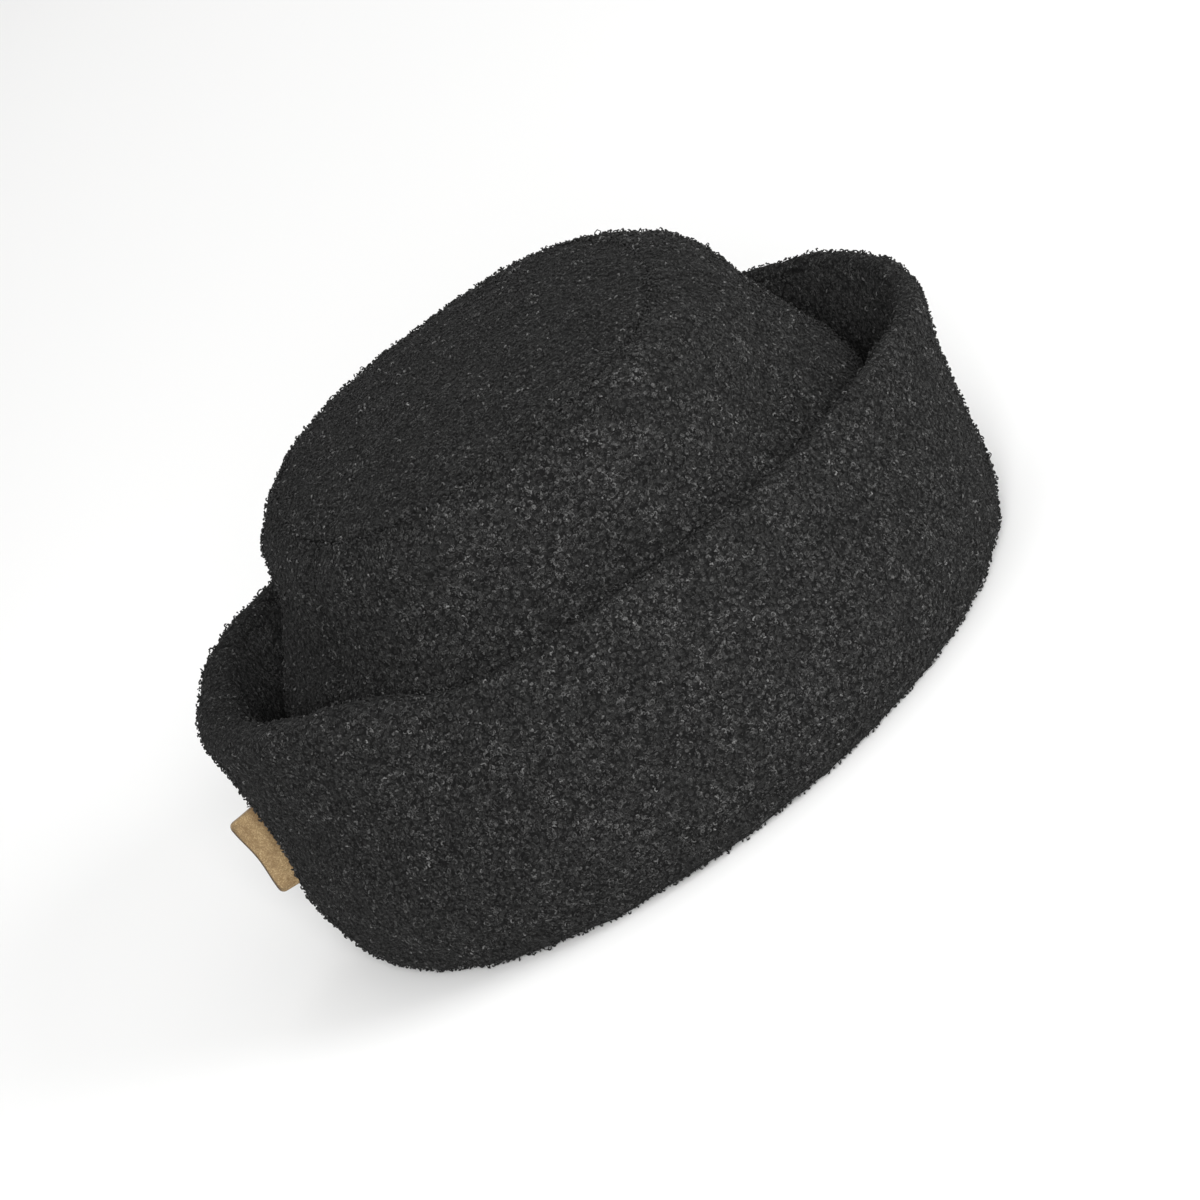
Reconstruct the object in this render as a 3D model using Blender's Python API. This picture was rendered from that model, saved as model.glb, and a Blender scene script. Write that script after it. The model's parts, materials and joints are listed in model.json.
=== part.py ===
"""A brimless hat of thick curly fleece with a deep turned-up cuff and a small leather tab.

Units are metres, +Z is up and the hat stands on its fold at z = 0, centred on the Z axis.
A turn is an angle in degrees seen from above: 0 is the front (-Y), 90 is +X, 180 the back.
"""
import math

import bmesh
import bpy
import numpy as np
from mathutils import Matrix

# Plan of the hat at the belly of the cuff
BELLY_WIDTH = 0.2305
BELLY_DEPTH = 0.227
PLAN_SQUARENESS = 2.05

# The cuff: a short leg inside, a rounded fold to stand on, and a double outer wall
CUFF_HEIGHT = 0.082
CUFF_WALL = 0.0085
FOLD_SPACE = 0.0040
BELLY_SWELL = 0.0035
SWELL_SHARE = 0.3
LEAN_SHARE = 1.08
LEG_TOP = 0.0270
REST_WIDTH = 0.0060

# The crown: two side panels and an oval tip
CROWN_WALL = 0.0045
SEAM_HEIGHT = 0.1135
TIP_WIDTH = 0.1200
TIP_DEPTH = 0.1400
TIP_RISE = 0.0070
TIP_SQUARENESS = 2.5
TIP_POWER = 2.4
CROWN_SHIFT = 0.0060
SIDE_SEAM_TURN = 295.0
SEAM_GAP = 0.0003
SEAM_DIP = 0.0016
SEAM_REACH = 0.0032
SEAM_PRESS = 0.3

# The leather tab caught in the cuff
TAB_TURN = 263.0
TAB_HEIGHT = 0.0260
TAB_OUT = 0.0105
TAB_HELD = 0.0040
TAB_THICKNESS = 0.0022
TAB_CORNER = 0.0016
TAB_HOLLOW = 0.0008
TAB_EDGE = 0.0004
TAB_CENTRE = 0.0345
TAB_BEND = 0.0012
TAB_CLEARANCE = 0.0003

# Fineness of the faceted cloth
TURN_STEP = 7.5
SEAM_TURNS = (1.3, 3.2)
EDGE_STEPS = 3
LEG_ROWS = 2
FOLD_ROWS = 9
OUTER_ROWS = 9
OUTER_KNOTS = (0.0, 0.2, 0.6, 1.0)
SIDE_ROWS = 8
SIDE_SHARES = (0.80, 0.87, 0.92, 0.96, 1.0)
TIP_SHARES = (0.93, 0.86, 0.72, 0.52, 0.28)
CORNER_STEPS = 3
HOLLOW_STEPS = 6

# The outer wall of the cuff round the hat: the height of its rim as a share of CUFF_HEIGHT, and how
# far the wall lies out (+) or in (-) at its waist and at its rim, as shares of CUFF_HEIGHT
CUFF_ROUND = [
    {"turn": 0, "rim": 0.91, "waist_out": -0.060, "rim_out": -0.192},
    {"turn": 20, "rim": 0.89, "waist_out": -0.060, "rim_out": -0.182},
    {"turn": 40, "rim": 0.85, "waist_out": -0.050, "rim_out": -0.147},
    {"turn": 65, "rim": 0.82, "waist_out": 0.005, "rim_out": -0.003},
    {"turn": 90, "rim": 0.79, "waist_out": 0.045, "rim_out": 0.131},
    {"turn": 115, "rim": 0.835, "waist_out": 0.035, "rim_out": 0.102},
    {"turn": 150, "rim": 0.885, "waist_out": -0.035, "rim_out": -0.082},
    {"turn": 180, "rim": 0.90, "waist_out": -0.060, "rim_out": -0.162},
    {"turn": 215, "rim": 0.97, "waist_out": -0.060, "rim_out": -0.142},
    {"turn": 245, "rim": 1.03, "waist_out": -0.055, "rim_out": -0.090},
    {"turn": 270, "rim": 1.00, "waist_out": -0.045, "rim_out": -0.052},
    {"turn": 295, "rim": 1.00, "waist_out": -0.060, "rim_out": -0.085},
    {"turn": 318, "rim": 0.99, "waist_out": -0.075, "rim_out": -0.163},
    {"turn": 330, "rim": 0.92, "waist_out": -0.075, "rim_out": -0.198},
]

# The side of the crown from its foot to the tip seam: height and the way from the foot's plan to
# the tip's plan, across and along, and how far it has moved over, all as shares
CROWN_RISE = [
    {"height": 0.24, "across": 0.00, "along": 0.00, "shifted": 0.00},
    {"height": 0.40, "across": 0.04, "along": 0.12, "shifted": 0.30},
    {"height": 0.54, "across": 0.13, "along": 0.30, "shifted": 0.65},
    {"height": 0.66, "across": 0.32, "along": 0.42, "shifted": 0.90},
    {"height": 0.78, "across": 0.52, "along": 0.54, "shifted": 1.30},
    {"height": 0.87, "across": 0.61, "along": 0.63, "shifted": 1.40},
    {"height": 0.95, "across": 0.74, "along": 0.75, "shifted": 1.15},
    {"height": 1.00, "across": 1.00, "along": 1.00, "shifted": 1.00},
]

# Soft dents: where they lie, how far they reach round and up, and their depth in wall thicknesses
CUFF_DENTS = [
    {"turn": 263, "height": 0.42, "reach": 15, "rise": 0.26, "depth": 0.26},
    {"turn": 238, "height": 0.74, "reach": 12, "rise": 0.24, "depth": 0.40},
    {"turn": 324, "height": 0.80, "reach": 9, "rise": 0.22, "depth": 0.22},
    {"turn": 20, "height": 0.60, "reach": 16, "rise": 0.20, "depth": 0.16},
    {"turn": 140, "height": 0.55, "reach": 18, "rise": 0.30, "depth": 0.20},
    {"turn": 205, "height": 0.60, "reach": 20, "rise": 0.30, "depth": 0.18},
]
CROWN_DENTS = [
    {"turn": 68, "height": 0.93, "reach": 9, "rise": 0.08, "depth": 0.45},
    {"turn": 335, "height": 0.72, "reach": 22, "rise": 0.14, "depth": 0.30},
    {"turn": 150, "height": 0.78, "reach": 20, "rise": 0.14, "depth": 0.35},
    {"turn": 225, "height": 0.66, "reach": 24, "rise": 0.16, "depth": 0.30},
]


def column(table, name):
    """One named column of a table as an array."""
    return np.array([row[name] for row in table], float)


def round_curve(turn, table, name):
    """A smooth closed curve through a column of a table, whose rows are set out round the turn."""
    stations = column(table, "turn")
    values = column(table, name)
    count = len(stations)
    turn = np.mod(np.asarray(turn, float), 360.0)
    here = (np.searchsorted(stations, turn, side="right") - 1) % count
    after = (here + 1) % count
    spans = np.mod(np.roll(stations, -1) - stations, 360.0)
    rises = (np.roll(values, -1) - values) / spans
    before = np.roll(spans, 1)
    slopes = (rises * before + np.roll(rises, 1) * spans) / (before + spans)
    span = spans[here]
    way = np.mod(turn - stations[here], 360.0) / span
    return hermite(way, values[here], values[after], span * slopes[here], span * slopes[after])


def rising_curve(share, stations, values):
    """A smooth open curve through values at rising stations."""
    slopes = np.gradient(values, stations)
    here = np.clip(np.searchsorted(stations, share, side="right") - 1, 0, len(stations) - 2)
    span = stations[here + 1] - stations[here]
    way = (share - stations[here]) / span
    return hermite(way, values[here], values[here + 1], span * slopes[here], span * slopes[here + 1])


def hermite(way, start, end, start_slope, end_slope):
    """The cubic from start to end with the two given slopes."""
    square = way * way
    cube = square * way
    return ((2 * cube - 3 * square + 1) * start + (cube - 2 * square + way) * start_slope
            + (3 * square - 2 * cube) * end + (cube - square) * end_slope)


def oval(turn, half_width, half_depth, squareness=PLAN_SQUARENESS):
    """A plan of the hat: an ellipse with squared shoulders, more so above a squareness of 2."""
    angle = np.radians(turn)
    power = 2.0 / squareness
    across = half_width * np.sign(np.sin(angle)) * np.abs(np.sin(angle)) ** power
    along = -half_depth * np.sign(np.cos(angle)) * np.abs(np.cos(angle)) ** power
    return across, along


def bell(distance, reach):
    """1 at distance 0, falling softly to almost nothing at twice the reach."""
    return np.exp(-(distance / reach) ** 2)


def turn_between(turn, centre):
    """The angle from a centre to each turn, from -180 to 180 degrees."""
    return np.mod(np.asarray(turn, float) - centre + 180.0, 360.0) - 180.0


def dent(turn, height, table):
    """How deep the dents of a table are at a turn and height share, in wall thicknesses."""
    depth = np.zeros(np.broadcast(turn, height).shape)
    for row in table:
        around = bell(turn_between(turn, row["turn"]), row["reach"])
        depth = depth + row["depth"] * around * bell(height - row["height"], row["rise"])
    return depth


def wall_normals(sheet, closed):
    """Outward normals of a grid of points whose rows run up the wall and whose columns run round."""
    up = np.gradient(sheet, axis=0)
    if closed:
        around = (np.roll(sheet, -1, axis=1) - np.roll(sheet, 1, axis=1)) / 2
    else:
        around = np.gradient(sheet, axis=1)
    normals = np.cross(around, up)
    return normals / np.linalg.norm(normals, axis=-1, keepdims=True)


def half_round(centres, outward, onward, thickness):
    """The rows that turn from one face of a wall to the other round its edge."""
    rows = []
    for step in range(1, EDGE_STEPS + 1):
        angle = math.pi * step / (EDGE_STEPS + 1)
        rows.append(centres + (outward * math.cos(angle) + onward * math.sin(angle)) * thickness / 2)
    return rows


def thick_wall(sheet, thickness, closed):
    """A sheet given its thickness, with round edges: rows up the outside, over and down the inside.

    The thickness is a number for each row and column. The last row joins on to the first.
    """
    outward = wall_normals(sheet, closed)
    onward = np.gradient(sheet, axis=0)
    onward = onward / np.linalg.norm(onward, axis=-1, keepdims=True)
    thickness = np.broadcast_to(thickness, sheet.shape[:2])[..., None]
    outside = sheet + outward * thickness / 2
    inside = sheet - outward * thickness / 2
    top = half_round(sheet[-1], outward[-1], onward[-1], thickness[-1])
    foot = half_round(sheet[0], -outward[0], -onward[0], thickness[0])
    return np.concatenate([outside, top, inside[::-1], foot])


def new_piece(name, points, faces, material):
    """A mesh object from points and faces, shaded smooth, with its own material."""
    mesh = bpy.data.meshes.new(name)
    mesh.from_pydata([tuple(point) for point in points], [], faces)
    mesh.shade_smooth()
    mesh.materials.append(material)
    piece = bpy.data.objects.new(name, mesh)
    bpy.context.scene.collection.objects.link(piece)
    return piece


def ring_piece(name, wall, material):
    """A closed ring from the rows of a thick wall."""
    rows, columns = wall.shape[:2]
    faces = []
    for row in range(rows):
        next_row = (row + 1) % rows
        for col in range(columns):
            next_col = (col + 1) % columns
            faces.append((row * columns + col, row * columns + next_col,
                          next_row * columns + next_col, next_row * columns + col))
    return new_piece(name, wall.reshape(-1, 3), faces, material)


def panel_piece(name, wall, sheet_rows, material):
    """A closed panel from the rows of a thick wall that stops at its first and last columns."""
    rows, columns = wall.shape[:2]
    faces = []
    for row in range(rows):
        next_row = (row + 1) % rows
        for col in range(columns - 1):
            faces.append((row * columns + col, row * columns + col + 1,
                          next_row * columns + col + 1, next_row * columns + col))
    inside_foot = 2 * sheet_rows + EDGE_STEPS - 1
    for col, turned in ((0, False), (columns - 1, True)):
        ends = []
        for row in range(sheet_rows - 1):
            across = inside_foot - row
            ends.append((row, row + 1, across - 1, across))
        ends.append(tuple(range(sheet_rows - 1, sheet_rows + EDGE_STEPS + 1)))
        ends.append(tuple(range(inside_foot, rows)) + (0,))
        for end in ends:
            face = tuple(row * columns + col for row in end)
            faces.append(face[::-1] if turned else face)
    return new_piece(name, wall.reshape(-1, 3), faces, material)


def cloth(name, colour, roughness):
    """A rough material with no shine for the cloth and leather."""
    material = bpy.data.materials.new(name)
    material.use_nodes = True
    shader = material.node_tree.nodes["Principled BSDF"]
    shader.inputs["Base Color"].default_value = (*colour, 1.0)
    shader.inputs["Roughness"].default_value = roughness
    shader.inputs["Metallic"].default_value = 0.0
    material.diffuse_color = (*colour, 1.0)
    return material


def crown_foot():
    """The half width and half depth of the middle of the crown's wall where it meets the cuff's leg."""
    inset = BELLY_SWELL + CUFF_WALL + FOLD_SPACE + CROWN_WALL / 2
    return BELLY_WIDTH / 2 - inset, BELLY_DEPTH / 2 - inset


def crown_sheet(turn, height):
    """The middle of the crown's wall at turns and at heights that are shares of SEAM_HEIGHT."""
    foot_width, foot_depth = crown_foot()
    stations = column(CROWN_RISE, "height")
    across = rising_curve(height, stations, column(CROWN_RISE, "across"))
    along = rising_curve(height, stations, column(CROWN_RISE, "along"))
    shifted = rising_curve(height, stations, column(CROWN_RISE, "shifted"))
    inward = dent(turn, height, CROWN_DENTS) * CROWN_WALL
    half_width = foot_width + (TIP_WIDTH / 2 - foot_width) * across
    half_depth = foot_depth + (TIP_DEPTH / 2 - foot_depth) * along
    for seam in (SIDE_SEAM_TURN, SIDE_SEAM_TURN - 180.0):
        away = np.radians(turn_between(turn, seam)) * half_width
        inward = inward + SEAM_DIP * bell(away, SEAM_REACH)
    squareness = PLAN_SQUARENESS + (TIP_SQUARENESS - PLAN_SQUARENESS) * along
    x, y = oval(turn, half_width - inward, half_depth - inward, squareness)
    return np.stack([x + CROWN_SHIFT * shifted, y, height * SEAM_HEIGHT + 0 * x], axis=-1)


def panel_turns(start):
    """The columns of half a crown, closer together beside its two seams."""
    gap = math.degrees(SEAM_GAP / TIP_WIDTH)
    near = np.array((gap, *SEAM_TURNS))
    middle = np.linspace(TURN_STEP, 180.0 - TURN_STEP, round(180.0 / TURN_STEP) - 1)
    return start + np.concatenate([near, middle, 180.0 - near[::-1]])


def crown_turns():
    """The columns of both halves of the crown, for what meets them all round."""
    return np.concatenate([panel_turns(SIDE_SEAM_TURN - 180.0), panel_turns(SIDE_SEAM_TURN)])


def pressed(turn):
    """How much the sewing presses a crown panel together beside its seams, as a share of its wall."""
    share = np.ones(np.shape(turn))
    for seam in (SIDE_SEAM_TURN, SIDE_SEAM_TURN - 180.0):
        away = np.radians(turn_between(turn, seam)) * TIP_WIDTH / 2
        share = share - SEAM_PRESS * bell(away, SEAM_REACH)
    return share


def crown_panel(name, start, material):
    """Half the side of the crown, from the cuff's leg up to the tip seam.

    One more column past each seam keeps the panel's ends square to the seam, and is then left out.
    """
    turn = panel_turns(start)
    past = SEAM_TURNS[0]
    turn = np.concatenate([[turn[0] - past], turn, [turn[-1] + past]])
    foot = (LEG_TOP + SEAM_GAP + CROWN_WALL / 2) / SEAM_HEIGHT
    height = np.concatenate([np.linspace(foot, SIDE_SHARES[0], SIDE_ROWS), SIDE_SHARES[1:]])
    sheet = crown_sheet(turn[None, :], height[:, None])
    last = sheet[-1] - sheet[-2]
    last = last / np.linalg.norm(last, axis=-1, keepdims=True)
    sheet[-1] = sheet[-1] - last * (CROWN_WALL + SEAM_GAP) / 2
    wall = thick_wall(sheet, CROWN_WALL * pressed(turn)[None, :], closed=False)
    return panel_piece(name, wall[:, 1:-1], len(sheet), material)


def crown_tip(material):
    """The oval top panel: a low dome inside the tip seam, with a round edge and a closed middle."""
    turn = crown_turns()
    seam = crown_sheet(turn[None, :], np.ones((1, 1)))[0]
    middle = np.array((CROWN_SHIFT, 0.0, SEAM_HEIGHT))
    edge = 1.0 - (CROWN_WALL + SEAM_GAP) / TIP_WIDTH
    share = np.array([edge, *TIP_SHARES])[:, None, None]
    sheet = middle + (seam - middle) * share
    sheet[..., 2] = SEAM_HEIGHT + TIP_RISE * (1.0 - share[..., 0] ** TIP_POWER)
    wall = thick_wall(sheet, CROWN_WALL, closed=True)
    rows, columns = len(sheet), len(turn)
    outside = wall[:rows]
    inside = wall[rows + EDGE_STEPS:2 * rows + EDGE_STEPS]
    rim = wall[2 * rows + EDGE_STEPS:]
    skin = np.concatenate([outside[::-1], rim[::-1], inside[::-1]])
    points = skin.reshape(-1, 3)
    poles = np.array([middle, middle])
    poles[:, 2] += TIP_RISE + np.array((1, -1)) * CROWN_WALL / 2
    faces = []
    for row in range(len(skin) - 1):
        for col in range(columns):
            next_col = (col + 1) % columns
            faces.append((row * columns + col, (row + 1) * columns + col,
                          (row + 1) * columns + next_col, row * columns + next_col))
    last = (len(skin) - 1) * columns
    for col in range(columns):
        next_col = (col + 1) % columns
        faces.append((len(points), col, next_col))
        faces.append((len(points) + 1, last + next_col, last + col))
    return new_piece("crown_tip", np.concatenate([points, poles]), faces, material)


def cuff_turns():
    """The columns of the cuff, closer together beside the tab."""
    near = np.array((0.0, *SEAM_TURNS))
    middle = np.linspace(TURN_STEP, 360.0 - TURN_STEP, round(360.0 / TURN_STEP) - 1)
    return TAB_TURN + np.concatenate([near, middle, 360.0 - near[:0:-1]])


def cuff_profile(turn):
    """The middle of the cuff's wall in section: how far outside the belly it lies, its height above
    the floor and its thickness, from the top of the leg, round the fold and up to the rim."""
    wall, leg = CUFF_WALL, CROWN_WALL
    radius = (FOLD_SPACE + wall / 2 + leg / 2) / 2
    flat = math.asin(REST_WIDTH / 2 / (radius + wall / 2))
    fold = (radius + wall / 2) * math.cos(flat)
    foot = -BELLY_SWELL - wall / 2
    rim = round_curve(turn, CUFF_ROUND, "rim") * CUFF_HEIGHT - wall / 2
    waist_out = round_curve(turn, CUFF_ROUND, "waist_out") * CUFF_HEIGHT
    rim_out = round_curve(turn, CUFF_ROUND, "rim_out") * CUFF_HEIGHT
    out, height, thick = [], [], []
    for way in np.linspace(0.0, 1.0, LEG_ROWS + 1)[:-1]:
        out.append(foot - 2 * radius + 0 * turn)
        height.append(LEG_TOP - leg / 2 + (fold - LEG_TOP + leg / 2) * way + 0 * turn)
        thick.append(leg + 0 * turn)
    quarter = np.linspace(0.0, math.pi / 2 - flat, FOLD_ROWS // 2)
    for angle in (*quarter, math.pi / 2, *(math.pi - quarter[::-1])):
        out.append(foot - radius - radius * math.cos(angle) + 0 * turn)
        height.append(fold - radius * math.sin(angle) + 0 * turn)
        thick.append(leg + (wall - leg) * min(1.0, angle / (math.pi / 2 - flat)) + 0 * turn)
    knots = np.array(OUTER_KNOTS)
    for way in np.linspace(0.0, 1.0, OUTER_ROWS + 1)[1:]:
        waist = rising_curve(way, knots, np.array((0.0, 0.0, 1.0, 0.0)))
        lip = rising_curve(way, knots, np.array((0.0, 0.0, 0.0, 1.0)))
        swell = BELLY_SWELL * max(0.0, 1.0 - way / SWELL_SHARE) ** 2
        out.append(-wall / 2 - swell + waist * waist_out + lip * rim_out)
        height.append(fold + (rim - fold) * way)
        thick.append(wall + 0 * turn)
    return np.array(out), np.array(height), np.array(thick)


def clear_of_crown(turn, out, height):
    """How far outside the belly the cuff's outer wall is, kept clear of the crown it leans on."""
    share = np.clip(height / SEAM_HEIGHT, column(CROWN_RISE, "height")[0], 1.0)
    crown = crown_sheet(turn, share)
    x, y = oval(turn, BELLY_WIDTH / 2, BELLY_DEPTH / 2)
    crown_out = np.hypot(crown[..., 0], crown[..., 1]) - np.hypot(x, y)
    least = crown_out + (CROWN_WALL + CUFF_WALL) / 2 * LEAN_SHARE + 2 * SEAM_GAP
    return np.where(height > LEG_TOP, np.maximum(out, least), out)


def cuff(material, tab_slot):
    """The cuff, standing on the flat strip of its fold, with a slot for the tab."""
    turn = cuff_turns()
    out, height, thick = cuff_profile(turn)
    outer = np.arange(len(out))[:, None] >= LEG_ROWS + FOLD_ROWS
    out = out - outer * dent(turn, height / CUFF_HEIGHT, CUFF_DENTS) * CUFF_WALL
    out = np.where(outer, clear_of_crown(turn, out, height), out)
    x, y = oval(turn, BELLY_WIDTH / 2 + out, BELLY_DEPTH / 2 + out)
    wall = thick_wall(np.stack([x, y, height], axis=-1), thick, closed=True)
    lowest = LEG_ROWS + FOLD_ROWS // 2
    wall[lowest - 1:lowest + 2, :, 2] = 0.0
    piece = ring_piece("cuff", wall, material)
    cut = piece.modifiers.new("tab slot", "BOOLEAN")
    cut.operation = "DIFFERENCE"
    cut.solver = "EXACT"
    cut.object = tab_slot
    return piece


def tab_place():
    """The matrix that puts the tab in the cuff: its X points out of the hat, its Z up."""
    out, height, _ = cuff_profile(np.array([TAB_TURN]))
    out = (out - dent(TAB_TURN, height / CUFF_HEIGHT, CUFF_DENTS) * CUFF_WALL)[LEG_ROWS + FOLD_ROWS:, 0]
    reach = np.interp(TAB_CENTRE, height[LEG_ROWS + FOLD_ROWS:, 0], out) + CUFF_WALL / 2
    x, y = oval(TAB_TURN, BELLY_WIDTH / 2 + reach, BELLY_DEPTH / 2 + reach)
    facing = math.atan2(y, x)
    return Matrix.Translation((x, y, TAB_CENTRE)) @ Matrix.Rotation(facing, 4, "Z")


def tab_outline():
    """The tab from the side: square where it is held, two round corners and a hollow outer edge."""
    low, high = -TAB_HEIGHT / 2, TAB_HEIGHT / 2
    points = [(-TAB_HELD, high), (-TAB_HELD, low), (0.0, low), (TAB_OUT / 2, low)]
    corners = []
    for centre, start in ((low + TAB_CORNER, -90.0), (high - TAB_CORNER, 0.0)):
        corner = []
        for step in range(CORNER_STEPS + 1):
            angle = math.radians(start + 90.0 * step / CORNER_STEPS)
            corner.append((TAB_OUT - TAB_CORNER + TAB_CORNER * math.cos(angle),
                           centre + TAB_CORNER * math.sin(angle)))
        corners.append(corner)
    edge = []
    for step in range(1, HOLLOW_STEPS):
        way = step / HOLLOW_STEPS
        edge.append((TAB_OUT - TAB_HOLLOW * math.sin(math.pi * way) ** 2,
                     low + TAB_CORNER + (TAB_HEIGHT - 2 * TAB_CORNER) * way))
    points += corners[0] + edge + corners[1]
    points += [(TAB_OUT / 2, high), (0.0, high)]
    return points


def label_tab(material):
    """The small leather tab, slightly bent, with softened edges."""
    form = bmesh.new()
    corners = [form.verts.new((x, -TAB_THICKNESS / 2, z)) for x, z in tab_outline()]
    face = form.faces.new(corners)
    moved = bmesh.ops.extrude_face_region(form, geom=[face])["geom"]
    for vertex in moved:
        if isinstance(vertex, bmesh.types.BMVert):
            vertex.co.y += TAB_THICKNESS
    rims = [edge for edge in form.edges if abs(edge.verts[0].co.y - edge.verts[1].co.y) < TAB_EDGE]
    bmesh.ops.bevel(form, geom=rims, offset=TAB_EDGE, segments=1, affect="EDGES")
    for vertex in form.verts:
        vertex.co.y -= TAB_BEND * (max(vertex.co.x, 0.0) / TAB_OUT) ** 2
    bmesh.ops.recalc_face_normals(form, faces=form.faces)
    mesh = bpy.data.meshes.new("label_tab")
    form.to_mesh(mesh)
    form.free()
    mesh.transform(tab_place())
    mesh.materials.append(material)
    piece = bpy.data.objects.new("label_tab", mesh)
    bpy.context.scene.collection.objects.link(piece)
    return piece


def tab_slot():
    """The cutter of the slot that the held end of the tab sits in."""
    half = (TAB_THICKNESS / 2 + TAB_CLEARANCE, TAB_HEIGHT / 2 + TAB_CLEARANCE)
    low, high = -TAB_HELD - TAB_CLEARANCE, TAB_OUT
    form = bmesh.new()
    bmesh.ops.create_cube(form, size=1.0)
    for vertex in form.verts:
        vertex.co = (high if vertex.co.x > 0 else low,
                     math.copysign(half[0], vertex.co.y), math.copysign(half[1], vertex.co.z))
    mesh = bpy.data.meshes.new("tab_slot")
    form.to_mesh(mesh)
    form.free()
    mesh.transform(tab_place())
    cutter = bpy.data.objects.new("tab_slot", mesh)
    cutter.hide_render = True
    cutter.display_type = "WIRE"
    bpy.context.scene.collection.objects.link(cutter)
    return cutter


def centre_over_origin(pieces, cutter):
    """Moves all of the meshes together, so that the middle of their common box is over the origin."""
    corners = np.array([tuple(vertex.co) for piece in pieces for vertex in piece.data.vertices])
    middle = (corners.min(axis=0) + corners.max(axis=0)) / 2
    shift = Matrix.Translation((-middle[0], -middle[1], 0.0))
    for piece in (*pieces, cutter):
        piece.data.transform(shift)


def main():
    for old in list(bpy.data.objects):
        bpy.data.objects.remove(old, do_unlink=True)
    slot = tab_slot()
    pieces = [
        cuff(cloth("cuff fleece", (0.030, 0.030, 0.029), 0.95), slot),
        crown_panel("crown_front_panel", SIDE_SEAM_TURN - 360.0,
                    cloth("front fleece", (0.032, 0.032, 0.031), 0.95)),
        crown_panel("crown_back_panel", SIDE_SEAM_TURN - 180.0,
                    cloth("back fleece", (0.032, 0.032, 0.031), 0.95)),
        crown_tip(cloth("tip fleece", (0.036, 0.036, 0.035), 0.95)),
        label_tab(cloth("tab leather", (0.36, 0.20, 0.09), 0.60)),
    ]
    centre_over_origin(pieces, slot)


main()
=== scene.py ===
import json
import math
import time

import bpy
import numpy as np
from mathutils import Matrix, Vector

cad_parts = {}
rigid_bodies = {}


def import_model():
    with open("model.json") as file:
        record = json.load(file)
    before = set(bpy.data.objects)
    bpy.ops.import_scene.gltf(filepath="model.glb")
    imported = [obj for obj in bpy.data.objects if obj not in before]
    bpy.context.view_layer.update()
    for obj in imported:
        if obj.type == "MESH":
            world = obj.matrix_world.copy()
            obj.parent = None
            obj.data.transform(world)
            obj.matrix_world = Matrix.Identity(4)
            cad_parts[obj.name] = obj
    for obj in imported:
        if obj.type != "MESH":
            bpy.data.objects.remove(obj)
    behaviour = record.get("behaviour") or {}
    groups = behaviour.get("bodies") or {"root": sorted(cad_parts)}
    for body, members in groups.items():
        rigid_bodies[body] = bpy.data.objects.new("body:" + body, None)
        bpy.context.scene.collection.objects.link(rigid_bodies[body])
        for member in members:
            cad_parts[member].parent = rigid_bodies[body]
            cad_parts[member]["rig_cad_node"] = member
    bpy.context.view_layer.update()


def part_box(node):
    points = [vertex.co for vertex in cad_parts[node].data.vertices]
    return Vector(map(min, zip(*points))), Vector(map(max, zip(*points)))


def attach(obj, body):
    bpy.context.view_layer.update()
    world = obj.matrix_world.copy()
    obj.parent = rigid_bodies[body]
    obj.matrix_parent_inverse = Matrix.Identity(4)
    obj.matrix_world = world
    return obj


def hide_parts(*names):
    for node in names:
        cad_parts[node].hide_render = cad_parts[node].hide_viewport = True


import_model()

startTime = time.time()

# A turn is an angle in degrees seen from above: 0 is the front (-Y), 90 is +X, 180 is the back.
# Lengths are metres. The tables hold shares of the sizes in the dictionary beside them.
hatPlan = {"width": 0.2305, "depth": 0.227, "squareness": 2.05}

cuffSettings = {
    "height": 0.082, "wall": 0.0085, "foldSpace": 0.0040, "swell": 0.0035, "swellShare": 0.3,
    "leanShare": 1.08, "legTop": 0.0270, "restWidth": 0.0060, "knots": (0.0, 0.2, 0.6, 1.0),
    "columns": 400, "legRows": 3, "foldRows": (4, 9), "outerRows": 46, "rimSteps": 8, "footSteps": 3,
    "seenFrom": 0.45, "deepStep": 5, "seenStep": 2, "pileRows": (-3, 2), "innerPile": (0.30, 0.50),
    "dentsFade": 0.12, "tabClear": (0.86, 0.001), "curlGap": 0.00131, "innerCurlGap": 0.0019,
    "shoulder": 12.0, "creaseWidth": 0.0012, "creaseSunk": 0.0004, "creaseReach": 0.0042,
}
cuffRound = np.array([
    # turn, rim, waistOut, rimOut
    (0, 0.91, -0.060, -0.192), (20, 0.89, -0.060, -0.182), (40, 0.85, -0.050, -0.147),
    (65, 0.82, 0.005, -0.003), (90, 0.79, 0.045, 0.131), (115, 0.835, 0.035, 0.102),
    (150, 0.885, -0.035, -0.082), (180, 0.90, -0.060, -0.162), (215, 0.97, -0.060, -0.142),
    (245, 1.03, -0.055, -0.090), (270, 1.00, -0.045, -0.052), (295, 1.035, -0.060, -0.085),
    (318, 1.02, -0.075, -0.163), (330, 0.935, -0.075, -0.198),
])
cuffDents = np.array([
    # turn, height, reach, rise, depth
    (263, 0.42, 15, 0.26, 0.26), (238, 0.74, 12, 0.24, 0.40), (324, 0.80, 9, 0.22, 0.22),
    (20, 0.60, 16, 0.20, 0.16), (140, 0.55, 18, 0.30, 0.20), (205, 0.60, 20, 0.30, 0.18),
])
# the wall's inner face rolls inward below the rim, at the side of the tab
cuffRoll = np.array([
    # turn, height, reach, rise, depth
    (268, 0.88, 26, 0.34, 0.85), (302, 0.92, 18, 0.30, 0.55),
])

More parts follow.
